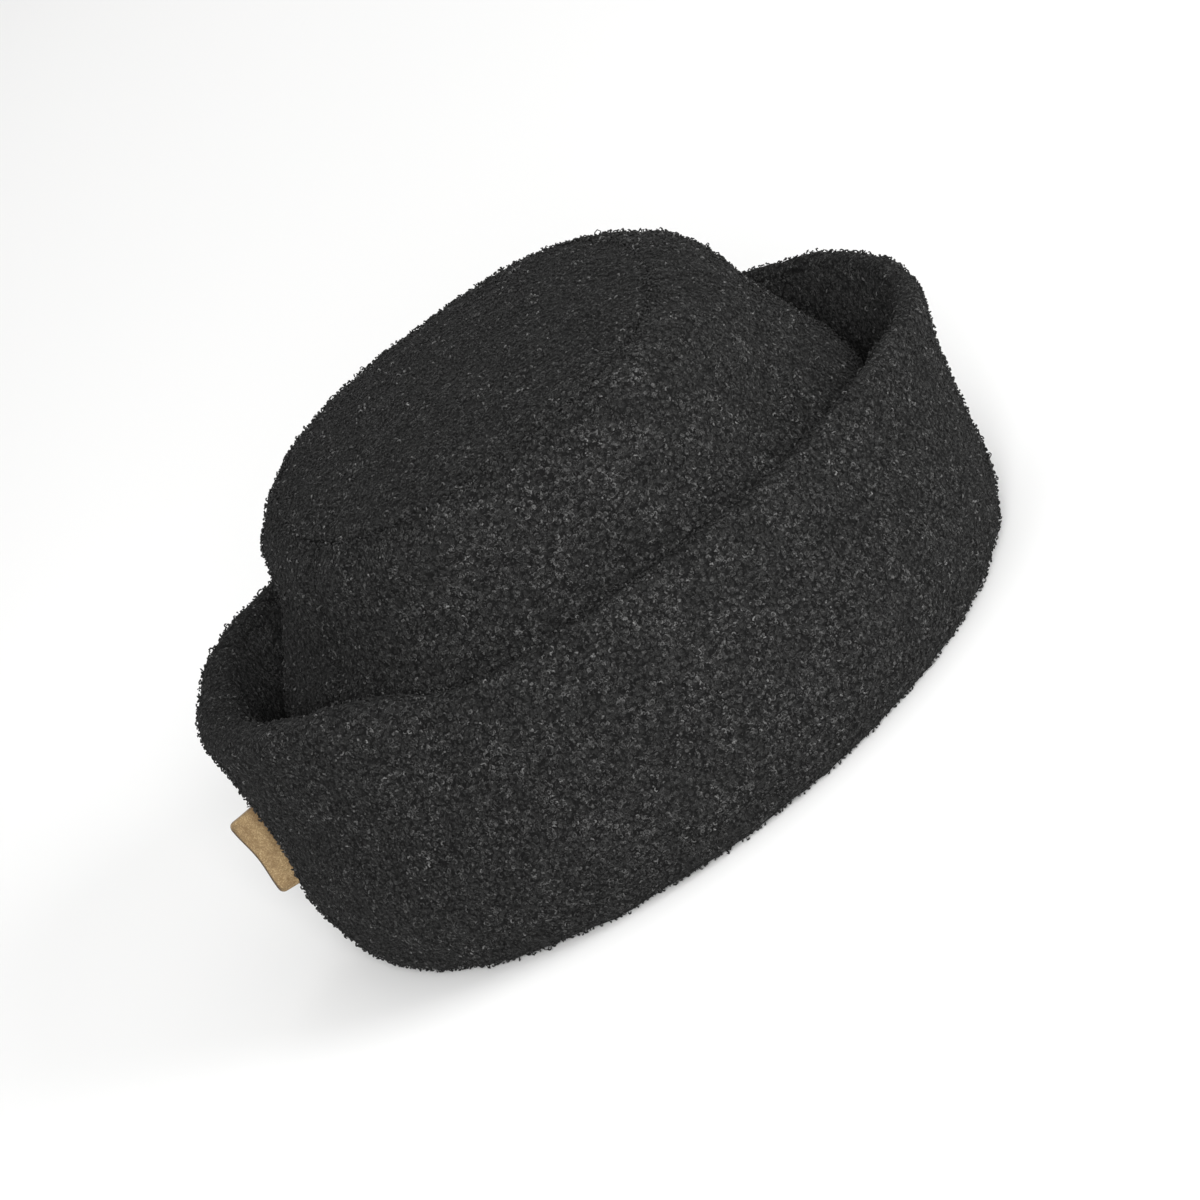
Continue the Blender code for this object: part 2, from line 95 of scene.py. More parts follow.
crownSettings = {
    "wall": 0.0045, "seamHeight": 0.1135, "tipWidth": 0.1200, "tipDepth": 0.1400, "tipRise": 0.0070,
    "tipPower": 2.4, "tipSquareness": 2.5, "shift": 0.0060, "seamTurn": 295.0, "seamGap": 0.0003,
    "seamDip": 0.0016, "seamReach": 0.0032, "seamPress": 0.3, "columns": 190, "hiddenRows": 6,
    "hiddenTo": 0.37, "topStep": 0.01, "sideRows": 48, "edgeSteps": 6, "footSteps": 3, "edgePower": 7.0,
    "tipColumns": 240, "tipRings": 38, "tipMiddle": 0.012, "innerStep": 6, "pileRows": (2, 8),
    "curlsFrom": 0.040, "curlGap": 0.00131, "stripWidth": 0.0013, "stripSunk": 0.0008,
}
crownRise = np.array([
    # height, across, along, shifted
    (0.24, 0.00, 0.00, 0.00), (0.40, 0.04, 0.12, 0.30), (0.54, 0.13, 0.30, 0.65),
    (0.66, 0.32, 0.42, 0.90), (0.78, 0.52, 0.54, 1.30), (0.87, 0.61, 0.63, 1.40),
    (0.95, 0.74, 0.75, 1.15), (1.00, 1.00, 1.00, 1.00),
])
crownDents = np.array([
    # turn, height, reach, rise, depth
    (68, 0.93, 9, 0.08, 0.45), (335, 0.72, 22, 0.14, 0.30), (150, 0.78, 20, 0.14, 0.35),
    (225, 0.66, 24, 0.16, 0.30), (50, 0.64, 13, 0.13, 0.80),
])

tabSettings = {
    "turn": 263.0, "height": 0.0260, "out": 0.0105, "held": 0.0040, "thickness": 0.0022,
    "corner": 0.0016, "hollow": 0.0008, "slant": 0.0020, "edge": 0.0006, "centre": 0.0345,
    "bend": 0.0012, "bendShares": (0.8, 0.4, 2.2), "columns": 144, "rings": 22, "middle": 0.02,
    "edgeSteps": 5, "cornerPoints": 14, "edgePoints": 22, "wallWays": (0.02, 1, 60), "burntReach": 2.2,
    "burntOut": (0.3, 0.9), "burntEnds": 1.5, "pileShadeReach": 0.0042, "pileShadeStrength": 0.8,
}


# a line with the seconds since the start
def report(text):
    print(f"[{time.time() - startTime:5.1f} s] {text}")


# curves and walls

# cubic from a to b over way 0..1 whose slopes at the ends are slopeA and slopeB
def hermite(way, a, b, slopeA, slopeB):
    square = way * way
    cube = square * way
    return ((2 * cube - 3 * square + 1) * a + (cube - 2 * square + way) * slopeA
            + (3 * square - 2 * cube) * b + (cube - square) * slopeB)


# smooth closed curve through a table's column; its slopes are the means of the rises on both sides
def roundCurve(turn, table, column):
    stations, values = table[:, 0], table[:, column]
    count = len(stations)
    turn = np.mod(np.asarray(turn, float), 360.0)
    here = (np.searchsorted(stations, turn, side="right") - 1) % count
    after = (here + 1) % count
    spans = np.mod(np.roll(stations, -1) - stations, 360.0)
    rises = (np.roll(values, -1) - values) / spans
    before = np.roll(spans, 1)
    slopes = (rises * before + np.roll(rises, 1) * spans) / (before + spans)
    span = spans[here]
    way = np.mod(turn - stations[here], 360.0) / span
    return hermite(way, values[here], values[after], span * slopes[here], span * slopes[after])


# smooth open curve through values at rising stations
def risingCurve(share, stations, values):
    slopes = np.gradient(values, stations)
    here = np.clip(np.searchsorted(stations, share, side="right") - 1, 0, len(stations) - 2)
    span = stations[here + 1] - stations[here]
    way = (share - stations[here]) / span
    return hermite(way, values[here], values[here + 1], span * slopes[here], span * slopes[here + 1])


# x = halfWidth sgn(sin t) |sin t|^(2/n), y = -halfDepth sgn(cos t) |cos t|^(2/n)
def oval(turn, halfWidth, halfDepth, squareness=hatPlan["squareness"]):
    power = 2.0 / squareness
    across, along = np.sin(np.radians(turn)), np.cos(np.radians(turn))
    return (halfWidth * np.sign(across) * np.abs(across) ** power,
            -halfDepth * np.sign(along) * np.abs(along) ** power)


# exp(-(distance / reach)^2)
def bell(distance, reach):
    return np.exp(-(distance / reach) ** 2)


# 0 below low, 1 above high, 3w^2 - 2w^3 between
def smoothStep(value, low, high):
    way = np.clip((value - low) / (high - low), 0.0, 1.0)
    return way * way * (3 - 2 * way)


# turn less centre, brought between -180 and 180
def turnBetween(turn, centre):
    return np.mod(np.asarray(turn, float) - centre + 180.0, 360.0) - 180.0


# sum over the table of depth x bell in turn x bell in height
def dentDepth(turn, height, table):
    turn, height = np.broadcast_arrays(turn, height)
    around = bell(turnBetween(turn[..., None], table[:, 0]), table[:, 2])
    return (table[:, 4] * around * bell(height[..., None] - table[:, 1], table[:, 3])).sum(-1)


# unit normals of a grid: cross product of the step round and the step up, each between both neighbours
def gridNormals(points, closedRows, closedColumns):
    def steps(axis, closed):
        if closed:
            return np.roll(points, -1, axis) - np.roll(points, 1, axis)
        return np.gradient(points, axis=axis)
    normals = np.cross(steps(1, closedColumns), steps(0, closedRows))
    return normals / np.maximum(np.linalg.norm(normals, axis=-1, keepdims=True), 1e-12)


# cos and sin of the angles round half an edge, each raised to 2 / power: 2 is round, more is squarer
def edgeTurn(steps, power):
    angle = (math.pi * np.arange(1, steps + 1) / (steps + 1))[:, None, None]
    cos, sin = np.cos(angle), np.sin(angle)
    return np.sign(cos) * np.abs(cos) ** (2 / power), sin ** (2 / power)


# the closed section of a wall: the sheet moved out by half its thickness, an edge over its last row,
# the picked rows moved in by half, and a half circle under its first row
def wallLoop(sheet, thickness, closed, inside, topSteps, footSteps, power=2.0, gap=0.0):
    outward = gridNormals(sheet, False, closed)
    onward = np.gradient(sheet, axis=0)
    onward /= np.linalg.norm(onward, axis=-1, keepdims=True)
    half = np.broadcast_to(thickness, sheet.shape[:2])[..., None] / 2
    cos, sin = edgeTurn(topSteps, power)
    top = sheet[-1] + outward[-1] * cos * half[-1] + onward[-1] * sin * (half[-1] + gap)
    cos, sin = edgeTurn(footSteps, 2.0)
    foot = sheet[0] - (outward[0] * cos + onward[0] * sin) * half[0]
    return np.concatenate([sheet + outward * half, top, (sheet - outward * half)[inside], foot])


# meshes from arrays

# quads of a grid; with them, each corner's place in the unit square, v kept under the given top
def gridFaces(rows, columns, closedRows, closedColumns, top=1.0):
    down = rows if closedRows else rows - 1
    across = columns if closedColumns else columns - 1
    r, c = np.meshgrid(np.arange(down), np.arange(across), indexing="ij")
    r2, c2 = (r + 1) % rows, (c + 1) % columns
    faces = np.stack([r * columns + c, r * columns + c2, r2 * columns + c2, r2 * columns + c], -1)
    places = np.stack([c, r, c + 1, r, c + 1, r + 1, c, r + 1], -1).reshape(-1, 4, 2)
    places = places / np.array((across, down / top))
    return faces.reshape(-1, 4), places


# shares of the unit square that the grids leave free, for the poles of round pieces and for wall ends
uvTop = 0.97
poleRow = {"edge": 0.975, "pole": 0.985, "nextRow": 0.012}
endRow = {"base": 0.98, "tip": 0.99, "width": 0.002}


# triangles from the first and last rows of a closed grid to two more points, which are added to it; the
# first lies at the middle of the first row; turned swaps their sides
def poleFans(skin, turned):
    rows, columns = skin.shape[:2]
    at = np.arange(columns)
    after, last, count = (at + 1) % columns, (rows - 1) * columns, rows * columns
    first, second = (after, at) if turned else (at, after)
    fans = np.concatenate([np.stack([0 * at + count, first, second], -1),
                           np.stack([0 * at + count + 1, last + second, last + first], -1)])
    left, right = (at + 1, at) if turned else (at, at + 1)
    edge, pole = 0 * at + poleRow["edge"], 0 * at + poleRow["pole"]
    places = np.stack([(at + 0.5) / columns, pole, left / columns, edge, right / columns, edge], -1)
    places = places.reshape(-1, 3, 2)
    points = np.concatenate([skin.reshape(-1, 3), [skin[0].mean(0)], [skin[-1].mean(0)]])
    return points, fans, np.concatenate([places, places[:, ::-1] + np.array((0, poleRow["nextRow"]))])


# a piece from points and lists of face arrays, each with its corners' UV places
def makePiece(name, points, faces, places, materials, slotOfFace=None, **attributes):
    mesh = bpy.data.meshes.new(name)
    mesh.vertices.add(len(points))
    mesh.vertices.foreach_set("co", np.ascontiguousarray(points, np.float32).ravel())
    corners = np.concatenate([f.ravel() for f in faces]).astype(np.int32)
    sizes = np.concatenate([np.full(len(f), f.shape[1]) for f in faces]).astype(np.int32)
    mesh.loops.add(len(corners))
    mesh.loops.foreach_set("vertex_index", corners)
    mesh.polygons.add(len(sizes))
    mesh.polygons.foreach_set("loop_start", np.concatenate([[0], np.cumsum(sizes)[:-1]]).astype(np.int32))
    mesh.polygons.foreach_set("loop_total", sizes)
    for material in materials:
        mesh.materials.append(material)
    if slotOfFace is not None:
        mesh.polygons.foreach_set("material_index", slotOfFace.astype(np.int32))
    mesh.update(calc_edges=True)
    layer = mesh.uv_layers.new(name="OFBake")
    flat = np.concatenate([p.reshape(-1, 2) for p in places]).astype(np.float32).ravel()
    layer.data.foreach_set("uv", flat)
    for title, values in attributes.items():
        store = mesh.attributes.new(title, "FLOAT", "POINT")
        store.data.foreach_set("value", np.ascontiguousarray(values, np.float32).ravel())
    mesh.validate()
    mesh.shade_smooth()
    piece = bpy.data.objects.new(name, mesh)
    bpy.context.scene.collection.objects.link(piece)
    return piece


# a piece goes on the root body, the CAD nodes that it stands for are hidden and its triangles reported; slot
# is not used
def dress(piece, slot, *nodes):
    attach(piece, "root")
    if nodes:
        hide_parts(*nodes)
    report(f"{piece.name}: {sum(len(p.vertices) - 2 for p in piece.data.polygons)} triangles")


# ground of the pile

pileSettings = {
    "sunk": 0.0007, "wave": 0.0005, "waveLength": 0.021, "wavePhases": (0.4, 2.1, 4.4), "clump": 0.00032,
    "clumpLength": 0.0062, "clumpPhases": (1.9, 0.3, 5.2), "bend": 0.002, "bendLength": 0.013,
    "slants": ((1.0, 0.35, 0.6), (-0.5, 0.9, 0.7), (0.3, -0.7, 1.1)),
}
scatterSettings = {"rounds": 10, "cellShare": 1.12, "throwsPerPlace": 1.5, "leastChance": 0.02}
bobbleSettings = {"gap": 0.0029, "reach": 0.0024, "height": 0.0008, "level": 0.62}
cellSteps = np.array([(i, j, k) for i in (-1, 0, 1) for j in (-1, 0, 1) for k in (-1, 0, 1)])


# for each point, what the table of cells holds in each of the 27 cells round it: a place's number or -1
def cellNeighbours(points, low, cell, table):
    home = np.floor((points - low) / cell).astype(int)
    for step in cellSteps:
        yield table[tuple(np.clip(home + step, 0, np.array(table.shape) - 1).T)]


# random places on a grid of points, no two nearer than the gap and at most one in each cubic cell: in each
# round some are thrown, those near a kept one go, and of two near each other the one of lower rank goes
def scatter(points, normals, weight, gap, random):
    s = scatterSettings
    rows, columns = points.shape[:2]
    area = np.linalg.norm(np.cross(np.gradient(points, axis=0), np.gradient(points, axis=1)), axis=-1)
    area = area * weight
    chance = area / area.max()
    cell = gap * s["cellShare"]
    low = points.reshape(-1, 3).min(0) - 2 * cell
    shape = (np.ceil((points.reshape(-1, 3).max(0) - low) / cell) + 3).astype(int)
    table = np.full(shape, -1)
    kept, keptNormals = np.zeros((0, 3)), np.zeros((0, 3))
    throws = int(area.sum() / gap ** 2 * s["throwsPerPlace"] / max(chance.mean(), s["leastChance"]))
    for _ in range(s["rounds"]):
        r = random.uniform(0, rows - 1.001, throws)
        c = random.uniform(0, columns - 1.001, throws)
        ri, ci = r.astype(int), c.astype(int)
        use = random.uniform(0, 1, throws) < chance[ri, ci]
        ri, ci, r, c = ri[use], ci[use], (r[use] - ri[use])[:, None], (c[use] - ci[use])[:, None]
        place = ((points[ri, ci] * (1 - c) + points[ri, ci + 1] * c) * (1 - r)
                 + (points[ri + 1, ci] * (1 - c) + points[ri + 1, ci + 1] * c) * r)
        facing = normals[ri, ci]
        home = np.floor((place - low) / cell).astype(int)
        free = table[tuple(home.T)] < 0
        place, facing, home = place[free], facing[free], home[free]
        _, first = np.unique(home @ np.array((1, 1000, 1000000)), return_index=True)
        place, facing, home = place[first], facing[first], home[first]
        if len(kept):
            clear = np.ones(len(place), bool)
            for near in cellNeighbours(place, low, cell, table):
                clear &= (near < 0) | (np.linalg.norm(place - kept[near], axis=1) > gap)
            place, facing, home = place[clear], facing[clear], home[clear]
        trial = np.full(shape, -1)
        trial[tuple(home.T)] = np.arange(len(place))
        clear = np.ones(len(place), bool)
        rank = random.permutation(len(place))
        for near in cellNeighbours(place, low, cell, trial):
            far = np.linalg.norm(place - place[near], axis=1) > gap
            clear &= (near < 0) | far | (rank >= rank[near])
        place, facing, home = place[clear], facing[clear], home[clear]
        table[tuple(home.T)] = np.arange(len(kept), len(kept) + len(place))
        kept = np.concatenate([kept, place])
        keptNormals = np.concatenate([keptNormals, facing])
    return {"places": kept, "normals": keptNormals, "cells": (low, cell, table)}


# mean of three sines along slanting directions, from -1 to 1
def slantWaves(points, length, phases):
    slants = np.array(pileSettings["slants"]) * 2 * math.pi / length
    return np.sin(points @ slants.T + np.array(phases)).mean(-1)


# curls stand in bobbles: rise = height (sqrt(1 - (distance to the nearest bobble / reach)^2) - level)
def growCurls(points, normals, weight, gap, random):
    s = bobbleSettings
    curls = scatter(points, normals, weight, gap, random)
    bobbles = scatter(points, normals, weight, s["gap"], random)
    away = np.full(len(curls["places"]), s["reach"])
    for near in cellNeighbours(curls["places"], *bobbles["cells"]):
        distance = np.linalg.norm(curls["places"] - bobbles["places"][near], axis=1)
        away = np.where((near >= 0) & (distance < away), distance, away)
    rise = s["height"] * (np.sqrt(1 - (away / s["reach"]) ** 2) - s["level"])
    return {"places": curls["places"], "normals": curls["normals"], "rise": rise}


# the ground is sunk below the cloth's face and swells slowly, with clumps that bend the waves
def raisePile(points, normals, mask):
    s = pileSettings
    bent = points + s["bend"] * np.sin(points[..., [1, 2, 0]] * 2 * math.pi / s["bendLength"])
    high = (slantWaves(points, s["waveLength"], s["wavePhases"]) * s["wave"]
            + slantWaves(bent, s["clumpLength"], s["clumpPhases"]) * s["clump"])
    return points + normals * ((high - s["sunk"]) * mask)[..., None]


# curls of yarn on the ground

curlSettings = {
    "radius": (0.00040, 0.00074), "thickness": (0.00023, 0.00034), "endThickness": 0.75,
    "sweep": (150.0, 290.0), "tilt": 24.0, "raised": (0.00010, 0.00050), "tiltRaise": 0.25, "tuck": 0.0006,
    "rise": 0.0006, "closing": 0.25, "rings": 3, "sides": 3, "loose": 0.006, "looseRadius": 1.6,
    "looseThickness": 0.6, "looseTilt": (50, 90), "floor": 0.0010, "least": 0.00005, "crest": 0.0011,
    "most": 10900, "uvMargin": 0.05,
}


# tubes along arcs: p(t) = centre + radius (1 - closing t) (a cos f + b sin f) + m rise t
# - n tuck |2t - 1|^3, f from start to start + sweep, ringed by the arc's outward direction and m
def curlShape(places, facing, bobble, random):
    s = curlSettings
    count = len(places)
    draw = random.uniform
    loose = draw(0, 1, count) < s["loose"]
    radius = draw(*s["radius"], count) * np.where(loose, s["looseRadius"], 1)
    thickness = draw(*s["thickness"], count) * np.where(loose, s["looseThickness"], 1)
    sweep = np.radians(draw(*s["sweep"], count))
    start = draw(0, 2 * math.pi, count)
    tilt = np.radians(np.where(loose, draw(*s["looseTilt"], count), random.normal(0, s["tilt"], count)))
    a = np.cross(facing, random.normal(size=(count, 3)))
    a /= np.linalg.norm(a, axis=1, keepdims=True)
    b = np.cross(facing, a) * np.cos(tilt)[:, None] + facing * np.sin(tilt)[:, None]
    m = np.cross(a, b)
    raised = draw(*s["raised"], count) + np.abs(np.sin(tilt)) * radius * s["tiltRaise"] + bobble
    centre = places + facing * raised[:, None]
    t = np.linspace(0, 1, s["rings"] + 2)
    angle = start[:, None] + sweep[:, None] * t
    spoke = a[:, None] * np.cos(angle)[..., None] + b[:, None] * np.sin(angle)[..., None]
    path = (centre[:, None] + spoke * (radius[:, None] * (1 - s["closing"] * t))[..., None]
            + m[:, None] * (s["rise"] * (t - 0.5))[None, :, None]
            - facing[:, None] * (s["tuck"] * np.abs(2 * t - 1) ** 3)[None, :, None])
    swell = s["endThickness"] + (1 - s["endThickness"]) * np.sin(math.pi * t[1:-1])
    turn = 2 * math.pi * np.arange(s["sides"]) / s["sides"]
    ring = (spoke[:, 1:-1, None] * np.cos(turn)[None, None, :, None]
            + m[:, None, None] * np.sin(turn)[None, None, :, None])
    ring = path[:, 1:-1, None] + ring * (thickness[:, None] * swell)[..., None, None]
    points = np.concatenate([ring.reshape(count, -1, 3), path[:, :1], path[:, -1:]], axis=1)
    crest = np.einsum("cpk,ck->cp", points - places[:, None], facing) / s["crest"]
    return points, np.clip(crest, 0, 1)


# faces of all the curls; each curl has its own small square of the UV map, its length across it
def curlFaces(count):
    rings, sides, margin = (curlSettings[key] for key in ("rings", "sides", "uvMargin"))
    r, s = np.meshgrid(np.arange(rings - 1), np.arange(sides), indexing="ij")
    s2 = (s + 1) % sides
    quads = np.stack([r * sides + s, r * sides + s2, (r + 1) * sides + s2, (r + 1) * sides + s], -1)
    quadPlaces = np.stack([r + 1, s, r + 1, s + 1, r + 2, s + 1, r + 2, s], -1).reshape(-1, 4, 2)
    at = np.arange(sides)
    after, zero, last, tip = (at + 1) % sides, 0 * at, (rings - 1) * sides, rings * sides
    fans = np.concatenate([np.stack([zero + tip, after, at], -1),
                           np.stack([zero + tip + 1, last + at, last + after], -1)])
    fanPlaces = np.concatenate([
        np.stack([zero, at + 0.5, zero + 1, at + 1, zero + 1, at], -1),
        np.stack([zero + rings + 1, at + 0.5, zero + rings, at, zero + rings, at + 1], -1)])
    fanPlaces = fanPlaces.reshape(-1, 3, 2)
    jump = (np.arange(count) * (tip + 2))[:, None, None]
    wide = math.ceil(math.sqrt(count))
    corner = np.stack([np.arange(count) % wide, np.arange(count) // wide], -1)[:, None, None]
    places = [(corner + margin + (1 - 2 * margin) * (p / np.array((rings + 1, sides)))[None]) / wide
              for p in (quadPlaces, fanPlaces)]
    return [(quads.reshape(-1, 4) + jump).reshape(-1, 4), (fans + jump).reshape(-1, 3)], places


# a piece of curls; strand is one random number a curl, crest how high a point stands over the ground
def curlPiece(name, curls, random, material):
    s = curlSettings
    pick = np.nonzero(curls["places"][:, 2] > s["floor"])[0]
    pick = np.sort(random.permutation(pick)[:s["most"]])
    points, crest = curlShape(*(curls[key][pick] for key in ("places", "normals", "rise")), random)
    points = points + hatShift
    points[..., 2] = np.maximum(points[..., 2], s["least"])
    strand = np.repeat(random.uniform(0, 1, len(pick)), points.shape[1])
    faces, places = curlFaces(len(pick))
    piece = makePiece(name, points.reshape(-1, 3), faces, places, [material], strand=strand, crest=crest)
    dress(piece, "fleece")


# materials

# a socket takes a link from another socket, or a plain value
def feed(tree, socket, value):
    if isinstance(value, bpy.types.NodeSocket):
        tree.links.new(value, socket)
    elif value is not None:
        socket.default_value = value


# a new node: values feed its inputs by name or number, settings are its own properties
def addNode(tree, kind, values=None, **settings):
    node = tree.nodes.new(kind)
    for title, value in settings.items():
        setattr(node, title, value)
    for title, value in (values or {}).items():
        feed(tree, node.inputs[title], value)
    return node


# an empty node group with its given and result nodes
def newGroup(name, inputs, outputs):
    group = bpy.data.node_groups.new(name, "ShaderNodeTree")
    for title, kind, value in inputs:
        socket = group.interface.new_socket(name=title, in_out="INPUT", socket_type=kind)
        feed(group, socket, value)
    for title in outputs:
        group.interface.new_socket(name=title, in_out="OUTPUT", socket_type="NodeSocketFloat")
    return group, group.nodes.new("NodeGroupInput").outputs, group.nodes.new("NodeGroupOutput").inputs


# an operation on one to three numbers
def mathNode(tree, operation, *values, clamp=False):
    node = addNode(tree, "ShaderNodeMath", dict(enumerate(values)), operation=operation, use_clamp=clamp)
    return node.outputs[0]


# an operation on one or two vectors
def vectorNode(tree, operation, *values, result="Vector"):
    node = addNode(tree, "ShaderNodeVectorMath", dict(enumerate(values)), operation=operation)
    return node.outputs[result]


# value times slope plus offset, kept between 0 and 1
def ramp(tree, value, slope, offset):
    return mathNode(tree, "MULTIPLY_ADD", value, slope, offset, clamp=True)


# colour a where the factor is 0, b where it is 1
def mixColour(tree, factor, a, b):
    return addNode(tree, "ShaderNodeMix", {0: factor, 6: a, 7: b}, data_type="RGBA").outputs[2]


loopSettings = {
    "radius": 0.42, "width": 0.15, "side": (1.6, 0.75), "strandHeight": 0.6, "domeHeight": 0.8,
}


# small loops lying on the cloth: in each Voronoi cell a ring of width w round its centre, kept only on
# the side that the cell's own random direction points to, over a low dome
def curledYarnGroup():
    s = loopSettings
    group, given, result = newGroup("curledYarn", [("Vector", "NodeSocketVector", None),
                                                   ("Scale", "NodeSocketFloat", 500.0)],
                                    ("Height", "Strand", "Tone"))
    cells = addNode(group, "ShaderNodeTexVoronoi", {
        "Vector": given["Vector"], "Scale": given["Scale"], "Randomness": 1.0}, feature="F1").outputs
    away = vectorNode(group, "SUBTRACT", given["Vector"], cells["Position"])
    side = vectorNode(group, "SUBTRACT", cells["Color"], (0.5, 0.5, 0.5))
    facing = vectorNode(group, "DOT_PRODUCT", vectorNode(group, "NORMALIZE", away),
                        vectorNode(group, "NORMALIZE", side), result="Value")
    off = mathNode(group, "ABSOLUTE", mathNode(group, "SUBTRACT", cells["Distance"], s["radius"]))
    ring = mathNode(group, "SUBTRACT", 1.0, mathNode(group, "DIVIDE", off, s["width"]), clamp=True)
    strand = mathNode(group, "MULTIPLY", ring, ramp(group, facing, *s["side"]))
    dome = mathNode(group, "SUBTRACT", 1.0, cells["Distance"], clamp=True)
    dome = mathNode(group, "MULTIPLY", dome, s["domeHeight"])
    feed(group, result["Height"], mathNode(group, "MULTIPLY_ADD", strand, s["strandHeight"], dome))
    feed(group, result["Strand"], strand)
    parts = addNode(group, "ShaderNodeSeparateColor", {0: cells["Color"]})
    feed(group, result["Tone"], parts.outputs[0])
    return group


# uneven dye and light: soft noise at two sizes, 0 to 1
def patchyGroup():
    group, given, result = newGroup("patchyTone", [("Vector", "NodeSocketVector", None),
                                                   ("Scale", "NodeSocketFloat", 60.0)], ("Tone", "Fine"))
    for title, share, detail, roughness in (("Tone", 1.0, 3.0, 0.6), ("Fine", 30.0, 2.0, 0.7)):
        scale = mathNode(group, "MULTIPLY", given["Scale"], share)
        noise = addNode(group, "ShaderNodeTexNoise", {"Vector": given["Vector"], "Scale": scale,
                                                      "Detail": detail, "Roughness": roughness})
        feed(group, result[title], noise.outputs["Fac"])
    return group


curledYarn = curledYarnGroup()
patchyTone = patchyGroup()


# a material with its node tree and its shader
def newMaterial(name):
    material = bpy.data.materials.new(name)
    material.use_nodes = True
    tree = material.node_tree
    return material, tree, tree.nodes["Principled BSDF"]


# the outputs of a group that is laid over the piece's own coordinates
def placeGroup(tree, group, scale):
    where = addNode(tree, "ShaderNodeTexCoord").outputs["Object"]
    return addNode(tree, "ShaderNodeGroup", {"Scale": scale, "Vector": where}, node_tree=group).outputs


# a number that the mesh holds at each point
def attribute(tree, title):
    return addNode(tree, "ShaderNodeAttribute", attribute_name=title).outputs["Fac"]


# colour, bump, roughness and specular of a surface
def finishSurface(tree, shader, shade, height, s):
    bump = addNode(tree, "ShaderNodeBump", {"Strength": 1.0, "Distance": s["bump"], "Height": height})
    tree.links.new(shade, shader.inputs["Base Color"])
    tree.links.new(bump.outputs["Normal"], shader.inputs["Normal"])
    shader.inputs["Roughness"].default_value = s["roughness"]
    shader.inputs["Specular IOR Level"].default_value = s["specular"]


fleeceSettings = {
    "deep": (0.0030, 0.0030, 0.0030, 1), "ground": (0.0180, 0.0180, 0.0177, 1),
    "glint": (0.21, 0.21, 0.207, 1), "smallScale": 1150.0, "largeScale": 700.0, "patchScale": 110.0,
    "small": 0.6, "large": 0.7, "fine": 0.6, "level": (1.5, -0.95), "patch": (1.6, -0.25),
    "bump": 0.0005, "roughness": 0.95, "specular": 0.15,
}
# lighter copy of the fleece for the pocket's inner faces: painted light that lifts the shade there
innerFleeceSettings = {
    **fleeceSettings, "deep": (0.0068, 0.0068, 0.0068, 1), "ground": (0.0340, 0.0340, 0.0334, 1),
}


# colour of the cloth under the curls: painted shade, deep in the hollows to ground on the tops of two sizes
# of loops, and a painted glint, lighter, on the strands of those patches where the tone is high
def fleeceMaterial(name, s):
    material, tree, shader = newMaterial(name)
    small = placeGroup(tree, curledYarn, s["smallScale"])
    large = placeGroup(tree, curledYarn, s["largeScale"])
    patch = placeGroup(tree, patchyTone, s["patchScale"])
    height = mathNode(tree, "ADD", mathNode(tree, "MULTIPLY", small["Height"], s["small"]),
                      mathNode(tree, "MULTIPLY", large["Height"], s["large"]))
    height = mathNode(tree, "MULTIPLY_ADD", patch["Fine"], s["fine"], height)
    # painted shade: deep in the hollows between the loops, ground on their tops, with random mottling from
    # the fine noise
    shade = mixColour(tree, ramp(tree, height, *s["level"]), s["deep"], s["ground"])
    # painted glint: a lighter colour on the strands where both loop tones and the patch are high
    strand = mathNode(tree, "MAXIMUM", small["Strand"], large["Strand"])
    bright = mathNode(tree, "MULTIPLY", large["Tone"], small["Tone"])
    bright = mathNode(tree, "MULTIPLY", bright, ramp(tree, patch["Tone"], *s["patch"]))
    shade = mixColour(tree, mathNode(tree, "MULTIPLY", strand, bright, clamp=True), shade, s["glint"])
    finishSurface(tree, shader, shade, height, s)
    return material


yarnSettings = {
    "low": (0.0031, 0.0031, 0.0031, 1), "dark": (0.0080, 0.0080, 0.0078, 1),
    "mid": (0.0222, 0.0222, 0.0218, 1), "light": (0.30, 0.30, 0.295, 1), "rareGlint": (8.0, -7.0),
    "patchScale": 110.0, "patch": (1.6, -0.25), "fine": (4.0, -1.5), "fineShare": 0.25,
    "crest": (2.2, -0.25), "crestShadeShare": 0.8, "bump": 0.00025, "roughness": 0.75, "specular": 0.3,
}
# lighter copy of the curls for the pocket's inner faces: painted light that lifts the shade there
innerYarnSettings = {
    **yarnSettings, "low": (0.0068, 0.0068, 0.0068, 1), "dark": (0.0145, 0.0145, 0.0143, 1),
    "mid": (0.0410, 0.0410, 0.0403, 1),
}


# colour by each curl's own number between dark and mid, with painted shade down to low where it dips into
# the
# cloth, and painted highlights: a few much lighter strands in the patches where the tone is high
def yarnMaterial(name, s):
    material, tree, shader = newMaterial(name)
    strand = attribute(tree, "strand")
    patch = placeGroup(tree, patchyTone, s["patchScale"])
    fine = ramp(tree, patch["Fine"], *s["fine"])
    # painted highlight: a few curls turn much lighter, in the patches where the tone is high
    rareGlint = mathNode(tree, "MULTIPLY", ramp(tree, strand, *s["rareGlint"]), ramp(tree, patch["Tone"], *s["patch"]))
    rareGlint = mathNode(tree, "MULTIPLY", rareGlint, fine)
    shade = mixColour(tree, rareGlint, mixColour(tree, strand, s["dark"], s["mid"]), s["light"])
    # painted shade: the curl darkens to low where it lies low over the ground; the fine noise adds random
    # mottling
    level = ramp(tree, attribute(tree, "crest"), *s["crest"])
    level = mathNode(tree, "MULTIPLY", level, s["crestShadeShare"])
    level = mathNode(tree, "MULTIPLY_ADD", fine, s["fineShare"], level, clamp=True)
    finishSurface(tree, shader, mixColour(tree, level, s["low"], shade), patch["Fine"], s)
    return material


backingSettings = {
    "dark": (0.014, 0.014, 0.014, 1), "light": (0.030, 0.030, 0.030, 1), "wales": 620.0,
    "courses": 480.0, "depth": 0.5, "patchScale": 60.0, "patch": 0.4, "bump": 0.0003,
    "roughness": 0.9, "specular": 0.5,
}


